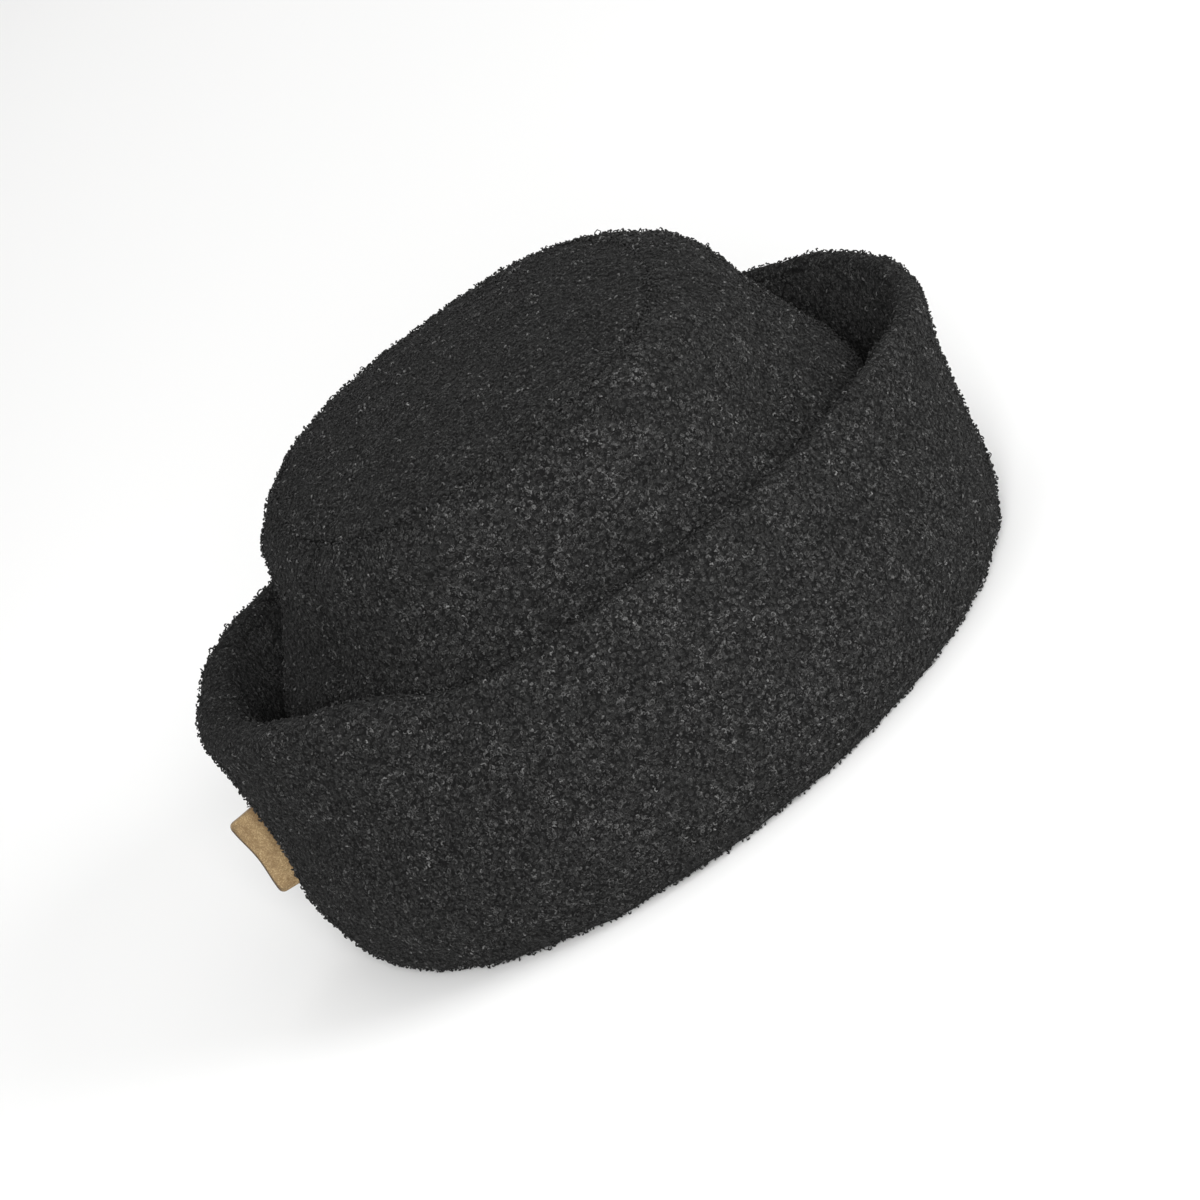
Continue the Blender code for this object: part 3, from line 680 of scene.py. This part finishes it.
# knitted back of the cloth: fine wales crossed by courses, abs(sin) in both directions of the UV map
def backingMaterial():
    s = backingSettings
    material, tree, shader = newMaterial("knitBacking")
    where = addNode(tree, "ShaderNodeUVMap", uv_map="OFBake")
    parts = addNode(tree, "ShaderNodeSeparateXYZ", {0: where.outputs["UV"]})
    waves = []
    for part, count in zip(parts.outputs, (s["wales"], s["courses"])):
        sine = mathNode(tree, "SINE", mathNode(tree, "MULTIPLY", part, count * math.pi))
        waves.append(mathNode(tree, "ABSOLUTE", sine))
    loops = mathNode(tree, "MULTIPLY_ADD", waves[1], s["depth"], 1 - s["depth"])
    loops = mathNode(tree, "MULTIPLY", waves[0], loops)
    patch = placeGroup(tree, patchyTone, s["patchScale"])
    tone = mathNode(tree, "ADD", patch["Tone"], s["patch"])
    tone = mathNode(tree, "MULTIPLY", loops, tone, clamp=True)
    finishSurface(tree, shader, mixColour(tree, tone, s["dark"], s["light"]), loops, s)
    return material


# the pile between cuff and crown gets lighter copies of the fleece and curls: painted light that lifts the
# shade in the pocket
fleece = fleeceMaterial("charcoalFleece", fleeceSettings)
innerFleece = fleeceMaterial("pocketFleecePaintedLight", innerFleeceSettings)
yarn = yarnMaterial("charcoalCurls", yarnSettings)
innerYarn = yarnMaterial("pocketCurlsPaintedLight", innerYarnSettings)
backing = backingMaterial()
report("materials of the cloth")


# the crown

# middle of the crown's wall: an oval that goes from the foot's plan to the tip's with the height share,
# less the dents and the dips beside the two seams
def crownSheet(turn, height):
    s = crownSettings
    inset = cuffSettings["swell"] + cuffSettings["wall"] + cuffSettings["foldSpace"] + s["wall"] / 2
    footWidth, footDepth = hatPlan["width"] / 2 - inset, hatPlan["depth"] / 2 - inset
    across, along, shifted = (risingCurve(height, crownRise[:, 0], crownRise[:, i]) for i in (1, 2, 3))
    inward = dentDepth(turn, height, crownDents) * s["wall"]
    halfWidth = footWidth + (s["tipWidth"] / 2 - footWidth) * across
    halfDepth = footDepth + (s["tipDepth"] / 2 - footDepth) * along
    for seam in (s["seamTurn"], s["seamTurn"] - 180.0):
        away = np.radians(turnBetween(turn, seam)) * halfWidth
        inward = inward + s["seamDip"] * bell(away, s["seamReach"])
    squareness = hatPlan["squareness"] + (s["tipSquareness"] - hatPlan["squareness"]) * along
    x, y = oval(turn, halfWidth - inward, halfDepth - inward, squareness)
    return np.stack([x + s["shift"] * shifted, y, height * s["seamHeight"] + 0 * x], -1)


# height share of the panel's last row in each column, so that its round edge stops at the tip's
def panelTop(turn):
    step = crownSettings["topStep"]
    near = crownSheet(turn[None], np.array([[1.0 - step], [1.0]]))
    rate = np.linalg.norm(near[1] - near[0], axis=-1) / step
    return 1.0 - (crownSettings["wall"] + crownSettings["seamGap"]) / 2 / rate


# half of the crown's side wall from one upright seam to the other; its face rises from the hidden foot
# to a squared edge at the tip, pressed in at both seams, and both ends are closed by strips
def crownPanel(name, start, node, random):
    s = crownSettings
    gap = math.degrees(s["seamGap"] / s["tipWidth"])
    turn = np.linspace(start + gap, start + 180.0 - gap, s["columns"])
    foot = (cuffSettings["legTop"] + s["seamGap"] + s["wall"] / 2) / s["seamHeight"]
    top = panelTop(turn)
    hidden = np.linspace(foot, s["hiddenTo"], s["hiddenRows"], endpoint=False)
    way = np.linspace(0, 1, s["sideRows"])[:, None]
    height = np.concatenate([hidden[:, None] + 0 * turn, s["hiddenTo"] + (top - s["hiddenTo"]) * way])
    sheet = crownSheet(turn[None], height)
    turns = (turnBetween(turn, s["seamTurn"] - back) for back in (0.0, 180.0))
    press = sum(bell(np.radians(away) * s["tipWidth"] / 2, s["seamReach"]) for away in turns)
    press = 1 - s["seamPress"] * press
    rows = len(sheet)
    inside = np.unique(np.append(np.arange(0, rows, s["innerStep"]), rows - 1))[::-1]
    loop = wallLoop(sheet, s["wall"] * press[None], False, inside, s["edgeSteps"], s["footSteps"],
                    s["edgePower"], s["seamGap"] / 2)
    normals = gridNormals(loop, True, False)
    outerRows = rows + s["edgeSteps"]
    normals[rows:outerRows] = normals[rows - 2]
    mask = np.zeros(loop.shape[:2])
    mask[:rows] = smoothStep(np.arange(rows), *s["pileRows"])[:, None]
    mask[rows:outerRows] = np.maximum(edgeTurn(s["edgeSteps"], s["edgePower"])[0][..., 0], 0)
    weight = (mask[:outerRows] > 0.5) * (loop[:outerRows, :, 2] > s["curlsFrom"])
    loop = raisePile(loop, normals, mask)
    normals = gridNormals(loop, True, False)
    curls = growCurls(loop[:outerRows], normals[:outerRows], weight, s["curlGap"], random)
    columns = loop.shape[1]
    faces, places = gridFaces(len(loop), columns, True, False, uvTop)
    # the two ends: a strip of triangles between the outer rows and the fewer inner ones
    base = outerRows + len(inside) - 1
    innerOf = base - np.searchsorted(inside[::-1], np.arange(rows), side="right") + 1
    step = np.nonzero(innerOf[1:] != innerOf[:-1])[0]
    outerPart = np.stack([np.arange(rows - 1), np.arange(1, rows), innerOf[:-1]], -1)
    innerPart = np.stack([step + 1, innerOf[step + 1], innerOf[step]], -1)
    over = np.arange(rows - 1, outerRows)
    overFan = np.stack([over, over + 1, 0 * over + outerRows], -1)[:-1]
    under = np.arange(base, len(loop) - 1)
    underFan = np.stack([under, under + 1, 0 * under], -1)
    strip = np.concatenate([outerPart, innerPart, overFan, underFan])
    ends = np.concatenate([strip * columns, strip[:, ::-1] * columns + columns - 1])
    spot = np.linspace(0, endRow["tip"], len(ends))[:, None]
    endPlaces = np.stack([spot + np.array((0, endRow["width"], 0)),
                          0 * spot + np.array((endRow["base"], endRow["base"], endRow["tip"]))], -1)
    row = np.repeat(np.arange(len(loop)), columns - 1)
    plain = (row >= outerRows) & (row < len(loop) - 1)
    slotOfFace = np.concatenate([plain, np.zeros(len(ends), bool)]).astype(int)
    piece = makePiece(name, loop.reshape(-1, 3) + hatShift, [faces, ends], [places, endPlaces],
                      [fleece, backing], slotOfFace)
    dress(piece, "fleece", node)
    return curls


# rings from the middle out, share s of the way to the seam, z = seamHeight + tipRise (1 - s^tipPower)
def crownTip(random):
    s = crownSettings
    turn = np.linspace(0, 360, s["tipColumns"], endpoint=False)
    seam = crownSheet(turn[None], np.ones((1, 1)))[0]
    middle = np.array((s["shift"], 0.0, s["seamHeight"]))
    edge = 1.0 - (s["wall"] + s["seamGap"]) / s["tipWidth"]
    share = np.linspace(edge, s["tipMiddle"], s["tipRings"])[:, None, None]
    sheet = middle + (seam - middle) * share
    sheet[..., 2] = s["seamHeight"] + s["tipRise"] * (1 - share[..., 0] ** s["tipPower"])
    inside = np.unique(np.append(np.arange(0, s["tipRings"], s["innerStep"]), s["tipRings"] - 1))
    outward = gridNormals(sheet, False, True)
    onward = np.gradient(sheet, axis=0)
    onward /= np.linalg.norm(onward, axis=-1, keepdims=True)
    half = s["wall"] / 2
    cos, sin = edgeTurn(s["edgeSteps"], s["edgePower"])
    rim = sheet[0] + outward[0] * cos * half - onward[0] * sin * (half + s["seamGap"] / 2)
    skin = np.concatenate([(sheet + outward * half)[::-1], rim, (sheet - outward * half)[inside]])
    normals = -gridNormals(skin, False, True)
    outerRows = s["tipRings"] + s["edgeSteps"]
    mask = np.zeros(skin.shape[:2])
    mask[:s["tipRings"]] = 1
    mask[s["tipRings"]:outerRows] = np.maximum(cos[..., 0], 0)
    normals[s["tipRings"]:outerRows] = normals[s["tipRings"] - 2]
    skin = raisePile(skin, normals, mask)
    normals = -gridNormals(skin, False, True)
    curls = growCurls(skin[:outerRows], normals[:outerRows], mask[:outerRows] > 0.5, s["curlGap"], random)
    columns = s["tipColumns"]
    faces, places = gridFaces(len(skin), columns, False, True, uvTop)
    points, fans, fanPlaces = poleFans(skin, False)
    row = np.repeat(np.arange(len(skin) - 1), columns)
    slotOfFace = np.concatenate([row >= outerRows, np.arange(2 * columns) >= columns]).astype(int)
    piece = makePiece("crownTip", points + hatShift, [faces[:, ::-1], fans], [places[:, ::-1], fanPlaces],
                      [fleece, backing], slotOfFace)
    dress(piece, "fleece", "crown_tip")
    return curls


# curls over the tip's seam, on a strip of three rows: its middle is sunk below the corner of both faces
def seamCurls(random):
    s = crownSettings
    turn = np.linspace(0, 360, s["tipColumns"] + 1)
    seam = crownSheet(turn[None], np.ones((1, 1)))[0]
    below = crownSheet(turn[None], np.full((1, 1), 1 - s["stripWidth"] / s["seamHeight"]))[0]
    share = 1 - s["stripWidth"] / s["tipWidth"] * 2
    above = np.array((s["shift"], 0.0, s["seamHeight"])) * (1 - share) + seam * share
    above[:, 2] += s["tipRise"] * (1 - share ** s["tipPower"])
    strip = np.stack([below, seam, above])
    normals = gridNormals(strip, False, False)
    out = s["wall"] / 2 - np.array((pileSettings["sunk"], s["stripSunk"], pileSettings["sunk"]))
    strip = strip + normals * out[:, None, None]
    return growCurls(strip, normals, np.ones(strip.shape[:2]), s["curlGap"], random)


# the cuff

# section of the cuff's middle: down the leg, round the fold on a circle, and up the outer wall whose
# lean follows the waist and rim curves; gives how far outside the belly it is, height and thickness
def cuffProfile(turn, legWays, foldAngles, outerWays):
    s, leg = cuffSettings, crownSettings["wall"]
    wall, legTop = s["wall"], s["legTop"]
    radius = (s["foldSpace"] + wall / 2 + leg / 2) / 2
    flat = math.asin(s["restWidth"] / 2 / (radius + wall / 2))
    fold = (radius + wall / 2) * math.cos(flat)
    foot = -s["swell"] - wall / 2
    rim = roundCurve(turn, cuffRound, 1) * s["height"] - wall / 2
    waistOut = roundCurve(turn, cuffRound, 2) * s["height"]
    rimOut = roundCurve(turn, cuffRound, 3) * s["height"]
    zero = 0 * turn
    a = legWays[:, None]
    f = foldAngles[:, None]
    w = outerWays[:, None]
    knots = np.array(s["knots"])
    waist = risingCurve(w, knots, np.array((0.0, 0.0, 1.0, 0.0)))
    lip = risingCurve(w, knots, np.array((0.0, 0.0, 0.0, 1.0)))
    swell = s["swell"] * np.maximum(0.0, 1.0 - w / s["swellShare"]) ** 2
    out = np.concatenate([foot - 2 * radius + 0 * a + zero, foot - radius - radius * np.cos(f) + zero,
                          -wall / 2 - swell + waist * waistOut + lip * rimOut])
    height = np.concatenate([legTop - leg / 2 + (fold - legTop + leg / 2) * a + zero,
                             fold - radius * np.sin(f) + zero, fold + (rim - fold) * w])
    thick = np.concatenate([leg + 0 * a + zero,
                            leg + (wall - leg) * np.minimum(1.0, f / (math.pi / 2 - flat)) + zero,
                            wall + 0 * w + zero])
    return out, height, thick


# the outer wall is never nearer to the crown's than both half walls and the gap
def clearOfCrown(turn, out, height):
    s = crownSettings
    share = np.clip(height / s["seamHeight"], crownRise[0, 0], 1.0)
    crown = crownSheet(turn[None], share)
    x, y = oval(turn, hatPlan["width"] / 2, hatPlan["depth"] / 2)
    crownOut = np.hypot(crown[..., 0], crown[..., 1]) - np.hypot(x, y)
    least = crownOut + (s["wall"] + cuffSettings["wall"]) / 2 * cuffSettings["leanShare"] + 2 * s["seamGap"]
    return np.where(height > cuffSettings["legTop"], np.maximum(out, least), out)


# the whole section of the cuff at every turn, dented and kept clear of the crown; with it the thickness
# and each row's way up the outer wall, 0 on the leg and fold
def cuffSheet():
    s = cuffSettings
    turn = np.linspace(0, 360, s["columns"], endpoint=False) + tabSettings["turn"]
    inner, outer = s["foldRows"]
    foldAngles = np.concatenate([np.linspace(0, math.pi / 2, inner, endpoint=False),
                                 np.linspace(math.pi / 2, math.pi, outer)])
    legWays = np.linspace(0, 1, s["legRows"], endpoint=False)
    outerWays = np.linspace(0, 1, s["outerRows"] + 1)[1:]
    out, height, thick = cuffProfile(turn, legWays, foldAngles, outerWays)
    way = np.concatenate([np.zeros(s["legRows"] + inner + outer), outerWays])[:, None]
    dents = dentDepth(turn[None], height / s["height"], cuffDents) * s["wall"]
    out = out - smoothStep(way, 0.0, s["dentsFade"]) * dents
    out = np.where(way > 0, clearOfCrown(turn, out, height), out)
    x, y = oval(turn, hatPlan["width"] / 2 + out, hatPlan["depth"] / 2 + out)
    return np.stack([x, y, height], -1), thick, way[:, 0]


# the cuff as one closed ring: its outer face and rim, the inner face that rolls in beside the tab, with
# pile as deep as the pocket shows, and the leg; no curls grow in the one column where the tab is held
def cuffPiece(random):
    s = cuffSettings
    sheet, thick, way = cuffSheet()
    rows = len(sheet)
    deep, seen = np.nonzero(way < s["seenFrom"])[0], np.nonzero(way >= s["seenFrom"])[0]
    inside = np.unique(np.concatenate([deep[::s["deepStep"]], seen[::s["seenStep"]], [rows - 1]]))[::-1]
    loop = wallLoop(sheet, thick, True, inside, s["rimSteps"], s["footSteps"])
    turn = np.arange(s["columns"]) * 360 / s["columns"]
    outerRows = rows + s["rimSteps"]
    innerEnd = outerRows + len(inside)
    roll = np.zeros(len(loop))
    roll[rows:outerRows] = (1 - edgeTurn(s["rimSteps"], 2.0)[0][:, 0, 0]) / 2
    roll[outerRows:innerEnd] = way[inside] > 0
    dents = dentDepth(turn[None] + tabSettings["turn"], loop[..., 2] / s["height"], cuffRoll)
    roll = roll[:, None] * dents * s["wall"]
    loop[..., :2] *= 1 - (roll / np.hypot(loop[..., 0], loop[..., 1]))[..., None]
    normals = gridNormals(loop, True, True)
    mask = np.zeros(loop.shape[:2])
    low, high = s["pileRows"]
    firstOuter = s["legRows"] + s["foldRows"][0]
    mask[:outerRows] = smoothStep(np.arange(outerRows), firstOuter + low, firstOuter + high)[:, None]
    mask[outerRows:innerEnd] = smoothStep(way[inside], *s["innerPile"])[:, None]
    width, margin = s["tabClear"]
    above = np.abs(loop[:outerRows, :, 2] - tabSettings["centre"]) >= tabSettings["height"] / 2 + margin
    weight = (mask[:outerRows] > 0.5) * (above | (np.abs(turnBetween(turn, 0.0)) > width))
    loop = raisePile(loop, normals, mask)
    loop[..., 2] = np.maximum(loop[..., 2], 0.0)
    normals = gridNormals(loop, True, True)
    curls = growCurls(loop[:outerRows], normals[:outerRows], weight, s["curlGap"], random)
    innerWeight = mask[outerRows:innerEnd] > 0.5
    innerCurls = growCurls(loop[outerRows:innerEnd], normals[outerRows:innerEnd], innerWeight,
                         s["innerCurlGap"], random)
    faces, places = gridFaces(len(loop), s["columns"], True, True)
    row = np.repeat(np.arange(len(loop)), s["columns"])
    plain = row >= outerRows + np.count_nonzero(way[inside] > s["innerPile"][0])
    slotOfFace = np.where(plain, 1, np.where(row >= outerRows, 2, 0))
    piece = makePiece("cuffFleece", loop.reshape(-1, 3) + hatShift, [faces], [places],
                      [fleece, backing, innerFleece], slotOfFace)
    dress(piece, "fleece", "cuff")
    return curls, innerCurls


# curls in the crease where the rim bears on the crown: a strip from the crown's face down to a valley
# and up to the rim's shoulder, used only where the two are near each other
def creaseCurls(random):
    s, c = cuffSettings, crownSettings
    sheet = cuffSheet()[0]
    turn = np.linspace(0, 360, s["columns"], endpoint=False) + tabSettings["turn"]
    outward = gridNormals(sheet, False, True)[-1]
    angle = math.radians(s["shoulder"])
    shoulder = sheet[-1] + (np.array((0, 0, math.sin(angle))) - outward * math.cos(angle)) * s["wall"] / 2
    rim = shoulder[:, 2]
    crown = crownSheet(turn[None], np.stack([rim, rim + s["creaseWidth"]]) / c["seamHeight"])
    crown = crown + gridNormals(crown, False, True) * c["wall"] / 2
    gap = np.linalg.norm((crown[0] - shoulder)[:, :2], axis=-1)
    valley = (crown[0] + shoulder) / 2 - np.array((0, 0, s["creaseSunk"]))
    strip = np.stack([shoulder, valley, crown[1]])
    near = gap < s["creaseReach"]
    report(f"rim within {gap.min() * 1000:.1f} mm of the crown, near it on {near.mean():.0%} of its way")
    normals = gridNormals(strip, False, True)
    weight = np.broadcast_to(near, strip.shape[:2]) * 1.0
    return growCurls(strip, normals, weight, s["curlGap"], random)


# the plan is moved so that the cuff's box has the CAD node's middle
def planShift():
    sheet, thick, _ = cuffSheet()
    outside = sheet + gridNormals(sheet, False, True) * thick[..., None] / 2
    low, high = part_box("cuff")
    middle = (np.array(low) + np.array(high)) / 2
    own = (outside.reshape(-1, 3).min(0) + outside.reshape(-1, 3).max(0)) / 2
    return np.array((middle[0] - own[0], middle[1] - own[1], 0.0))


hatShift = planShift()
report(f"plan moved by {hatShift[0] * 1000:.2f}, {hatShift[1] * 1000:.2f} mm")
random = np.random.default_rng(41)
curls, innerCurls = cuffPiece(random)
seamTurn = crownSettings["seamTurn"]
frontCurls = crownPanel("crownFrontFleece", seamTurn - 360.0, "crown_front_panel", random)
backCurls = crownPanel("crownBackFleece", seamTurn - 180.0, "crown_back_panel", random)
tipCurls = crownTip(random)
tipSeamCurls = seamCurls(random)
meetingCurls = creaseCurls(random)


# the curls whose places lie between two turns, so that no piece of them is too large
def sector(curls, first, last):
    turn = np.degrees(np.arctan2(curls["places"][:, 0], -curls["places"][:, 1])) % 360
    pick = (turn >= first) & (turn < last)
    return {key: values[pick] for key, values in curls.items()}


for first, side in ((0, "Right"), (120, "Back"), (240, "Left")):
    curlPiece(f"curlsCuff{side}", sector(curls, first, first + 120), random, yarn)
curlPiece("curlsCuffInner", innerCurls, random, innerYarn)
for place, grown in (("CrownFront", frontCurls), ("CrownBack", backCurls), ("CrownTip", tipCurls),
                     ("CrownSeam", tipSeamCurls), ("CuffMeeting", meetingCurls)):
    curlPiece(f"curls{place}", grown, random, yarn)


# the tab

# outline of the tab from the side at an angle p round it: a rectangle whose two outer corners are round
def tabOutline(p):
    s = tabSettings
    low, high, c = -s["height"] / 2, s["height"] / 2, s["corner"]
    quarter = np.linspace(0, math.pi / 2, s["cornerPoints"])
    edge = np.linspace(0, 1, s["edgePoints"])[1:-1]
    x = np.concatenate([[-s["held"]], s["out"] - c + c * np.sin(quarter),
                        s["out"] - s["hollow"] * np.sin(math.pi * edge) ** 2,
                        s["out"] - c + c * np.cos(quarter), [-s["held"], -s["held"]]])
    z = np.concatenate([[low], low + c - c * np.cos(quarter), low + c + (s["height"] - 2 * c) * edge,
                        high - c + c * np.sin(quarter), [high, low]])
    z = z + s["slant"] * (s["out"] - x) / (s["out"] + s["held"]) * smoothStep(z, 0.0, high)
    length = np.concatenate([[0], np.cumsum(np.hypot(np.diff(x), np.diff(z)))])
    way = p * length[-1]
    return np.interp(way, length, x), np.interp(way, length, z)


tabLook = {
    "face": (0.208, 0.136, 0.062, 1), "pale": (0.36, 0.265, 0.140, 1), "dark": (0.090, 0.044, 0.014, 1),
    "burnt": (0.024, 0.012, 0.006, 1), "grainScale": 80.0, "grain": (5.0, -2.3), "patchScale": 330.0,
    "patch": (2.2, -1.0), "bump": 0.00022, "roughness": 0.85, "specular": 0.3, "sheen": 0.2,
}


# brushed leather: two noises mix three tans, painted shade of the pile where it goes into the seam, burnt on
# the cut edge
def tabMaterial():
    s = tabLook
    material, tree, shader = newMaterial("brushedLeather")
    patch = placeGroup(tree, patchyTone, s["patchScale"])
    grain = placeGroup(tree, patchyTone, s["grainScale"])
    shade = mixColour(tree, ramp(tree, grain["Fine"], *s["grain"]), s["face"], s["pale"])
    # random darker patches, then painted shade of the pile near the seam (held), then the burnt cut edge
    for factor, tan in ((ramp(tree, patch["Tone"], *s["patch"]), s["dark"]),
                        (attribute(tree, "held"), s["dark"]), (attribute(tree, "cutEdge"), s["burnt"])):
        shade = mixColour(tree, factor, shade, tan)
    finishSurface(tree, shader, shade, mathNode(tree, "ADD", grain["Fine"], patch["Tone"]), s)
    shader.inputs["Sheen Weight"].default_value = s["sheen"]
    return material


# both faces as rings of the outline shrunk towards the middle, joined by a rounded edge, then bent:
# y = -bend (x / out)^2, most at half height; the edge is burnt at the outer end of both faces
def tabPiece():
    s = tabSettings
    x, z = tabOutline(np.linspace(0, 1, s["columns"], endpoint=False))
    half, middle = s["thickness"] / 2, (s["out"] - s["held"]) / 2
    inset = 1 - s["edge"] / (s["height"] / 2)
    face = np.linspace(s["middle"], 1, s["rings"]) * inset
    flat = np.ones(s["rings"])
    turn = math.pi * np.arange(1, s["edgeSteps"] + 1) / (s["edgeSteps"] + 1)
    grow = np.concatenate([face, inset + (1 - inset) * np.sin(turn), face[::-1]])[:, None]
    side = np.concatenate([-flat, -np.cos(turn), flat])[:, None] * half
    skin = np.stack([middle + (x - middle) * grow, side + 0 * x, z * grow], -1)
    base, change, rate = s["bendShares"]
    bend = (np.maximum(skin[..., 0], 0) / s["out"]) ** 2
    skin[..., 1] -= s["bend"] * bend * (base + change * np.cos(skin[..., 2] / s["height"] * rate))
    ways = np.linspace(*s["wallWays"])
    out, height, _ = cuffProfile(np.array([s["turn"]]), np.zeros(0), np.zeros(0), ways)
    out = out - dentDepth(s["turn"], height / cuffSettings["height"], cuffDents) * cuffSettings["wall"]
    reach = np.interp(s["centre"], height[:, 0], out[:, 0]) + cuffSettings["wall"] / 2
    px, py = oval(s["turn"], hatPlan["width"] / 2 + reach, hatPlan["depth"] / 2 + reach)
    facing = math.atan2(py, px)
    cos, sin = math.cos(facing), math.sin(facing)
    placed = np.stack([px + skin[..., 0] * cos - skin[..., 1] * sin,
                       py + skin[..., 0] * sin + skin[..., 1] * cos, s["centre"] + skin[..., 2]], -1)
    faces, places = gridFaces(len(skin), s["columns"], False, True, uvTop)
    points, fans, fanPlaces = poleFans(placed, True)
    row = np.arange(len(skin))[:, None]
    first, last, reach = s["rings"] - 1, s["rings"] + s["edgeSteps"], s["burntReach"]
    low, high = (share * s["out"] for share in s["burntOut"])
    end = s["height"] / 2
    cutEdge = smoothStep(row, first - reach, first) * (1 - smoothStep(row, last, last + reach))
    cutEdge = cutEdge * smoothStep(skin[..., 0], low, high)
    cutEdge = cutEdge * (1 - smoothStep(np.abs(skin[..., 2]), end - s["burntEnds"] * s["corner"], end))
    # painted shade of the pile over the tab, darkest where the tab goes into the seam
    held = (1 - smoothStep(skin[..., 0], 0.0, s["pileShadeReach"])) * s["pileShadeStrength"]
    piece = makePiece("leatherTab", points + hatShift, [faces, fans], [places, fanPlaces], [tabMaterial()],
                      cutEdge=np.append(cutEdge, (0, 0)), held=np.append(held, (0, 0)))
    dress(piece, "tab_leather", "label_tab")


tabPiece()


# floor, light and camera

stageSettings = {
    "floor": (0.90, 0.90, 0.895, 1), "world": (1.0, 1.0, 1.0, 1), "worldStrength": 0.68,
    "key": {"place": (1.45, -1.10, 0.70), "size": 1.0, "power": 26.0},
    "fill": {"place": (-0.08, -1.50, 0.60), "size": 0.6, "power": 27.0},
    "back": {"place": (0.2, 1.4, 1.3), "size": 1.2, "power": 5.0},
    "look": (-0.0010, 0.0, 0.0405), "elevation": 20.0, "distance": 1.4, "lens": 150.0, "roll": -37.0,
    "sensor": 36.0, "clip": (0.05, 40.0), "floorSize": 8.0, "floorRoughness": 0.8, "floorSpecular": 0.2,
}


# a flat square under the hat
def makeFloor():
    s = stageSettings
    corners = [(x * s["floorSize"], y * s["floorSize"], 0) for x, y in ((-1, -1), (1, -1), (1, 1), (-1, 1))]
    mesh = bpy.data.meshes.new("floor")
    mesh.from_pydata(corners, [], [(0, 1, 2, 3)])
    material, _, shader = newMaterial("paleFloor")
    shader.inputs["Base Color"].default_value = s["floor"]
    shader.inputs["Roughness"].default_value = s["floorRoughness"]
    shader.inputs["Specular IOR Level"].default_value = s["floorSpecular"]
    mesh.materials.append(material)
    floor = bpy.data.objects.new("floor", mesh)
    bpy.context.scene.collection.objects.link(floor)


# a round lamp that faces the point looked at
def makeLight(name, settings):
    lamp = bpy.data.lights.new(name, "AREA")
    lamp.shape = "DISK"
    lamp.size = settings["size"]
    lamp.energy = settings["power"]
    light = bpy.data.objects.new(name, lamp)
    light.location = settings["place"]
    aim = Vector(stageSettings["look"]) - Vector(settings["place"])
    light.rotation_euler = aim.to_track_quat("-Z", "Y").to_euler()
    bpy.context.scene.collection.objects.link(light)


# the camera looks along +Y from its elevation, turned about its own axis by the roll
def makeCamera():
    s = stageSettings
    data = bpy.data.cameras.new("camera")
    data.lens = s["lens"]
    data.sensor_width = s["sensor"]
    data.clip_start, data.clip_end = s["clip"]
    camera = bpy.data.objects.new("camera", data)
    rise = math.radians(s["elevation"])
    camera.location = Vector(s["look"]) + Vector((0, -math.cos(rise), math.sin(rise))) * s["distance"]
    turn = Matrix.Rotation(math.pi / 2 - rise, 4, "X") @ Matrix.Rotation(math.radians(s["roll"]), 4, "Z")
    camera.rotation_euler = turn.to_euler()
    bpy.context.scene.collection.objects.link(camera)
    bpy.context.scene.camera = camera


makeFloor()
for name in ("key", "fill", "back"):
    makeLight(name, stageSettings[name])
world = bpy.data.worlds.new("studio")
world.use_nodes = True
background = world.node_tree.nodes["Background"]
background.inputs["Color"].default_value = stageSettings["world"]
background.inputs["Strength"].default_value = stageSettings["worldStrength"]
bpy.context.scene.world = world
bpy.context.scene.view_settings.view_transform = "Standard"
makeCamera()

pieces = [o for o in bpy.context.scene.objects if o.type == "MESH" and "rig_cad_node" not in o]
total = sum(len(p.vertices) - 2 for o in pieces for p in o.data.polygons)
report(f"{total} triangles in all")
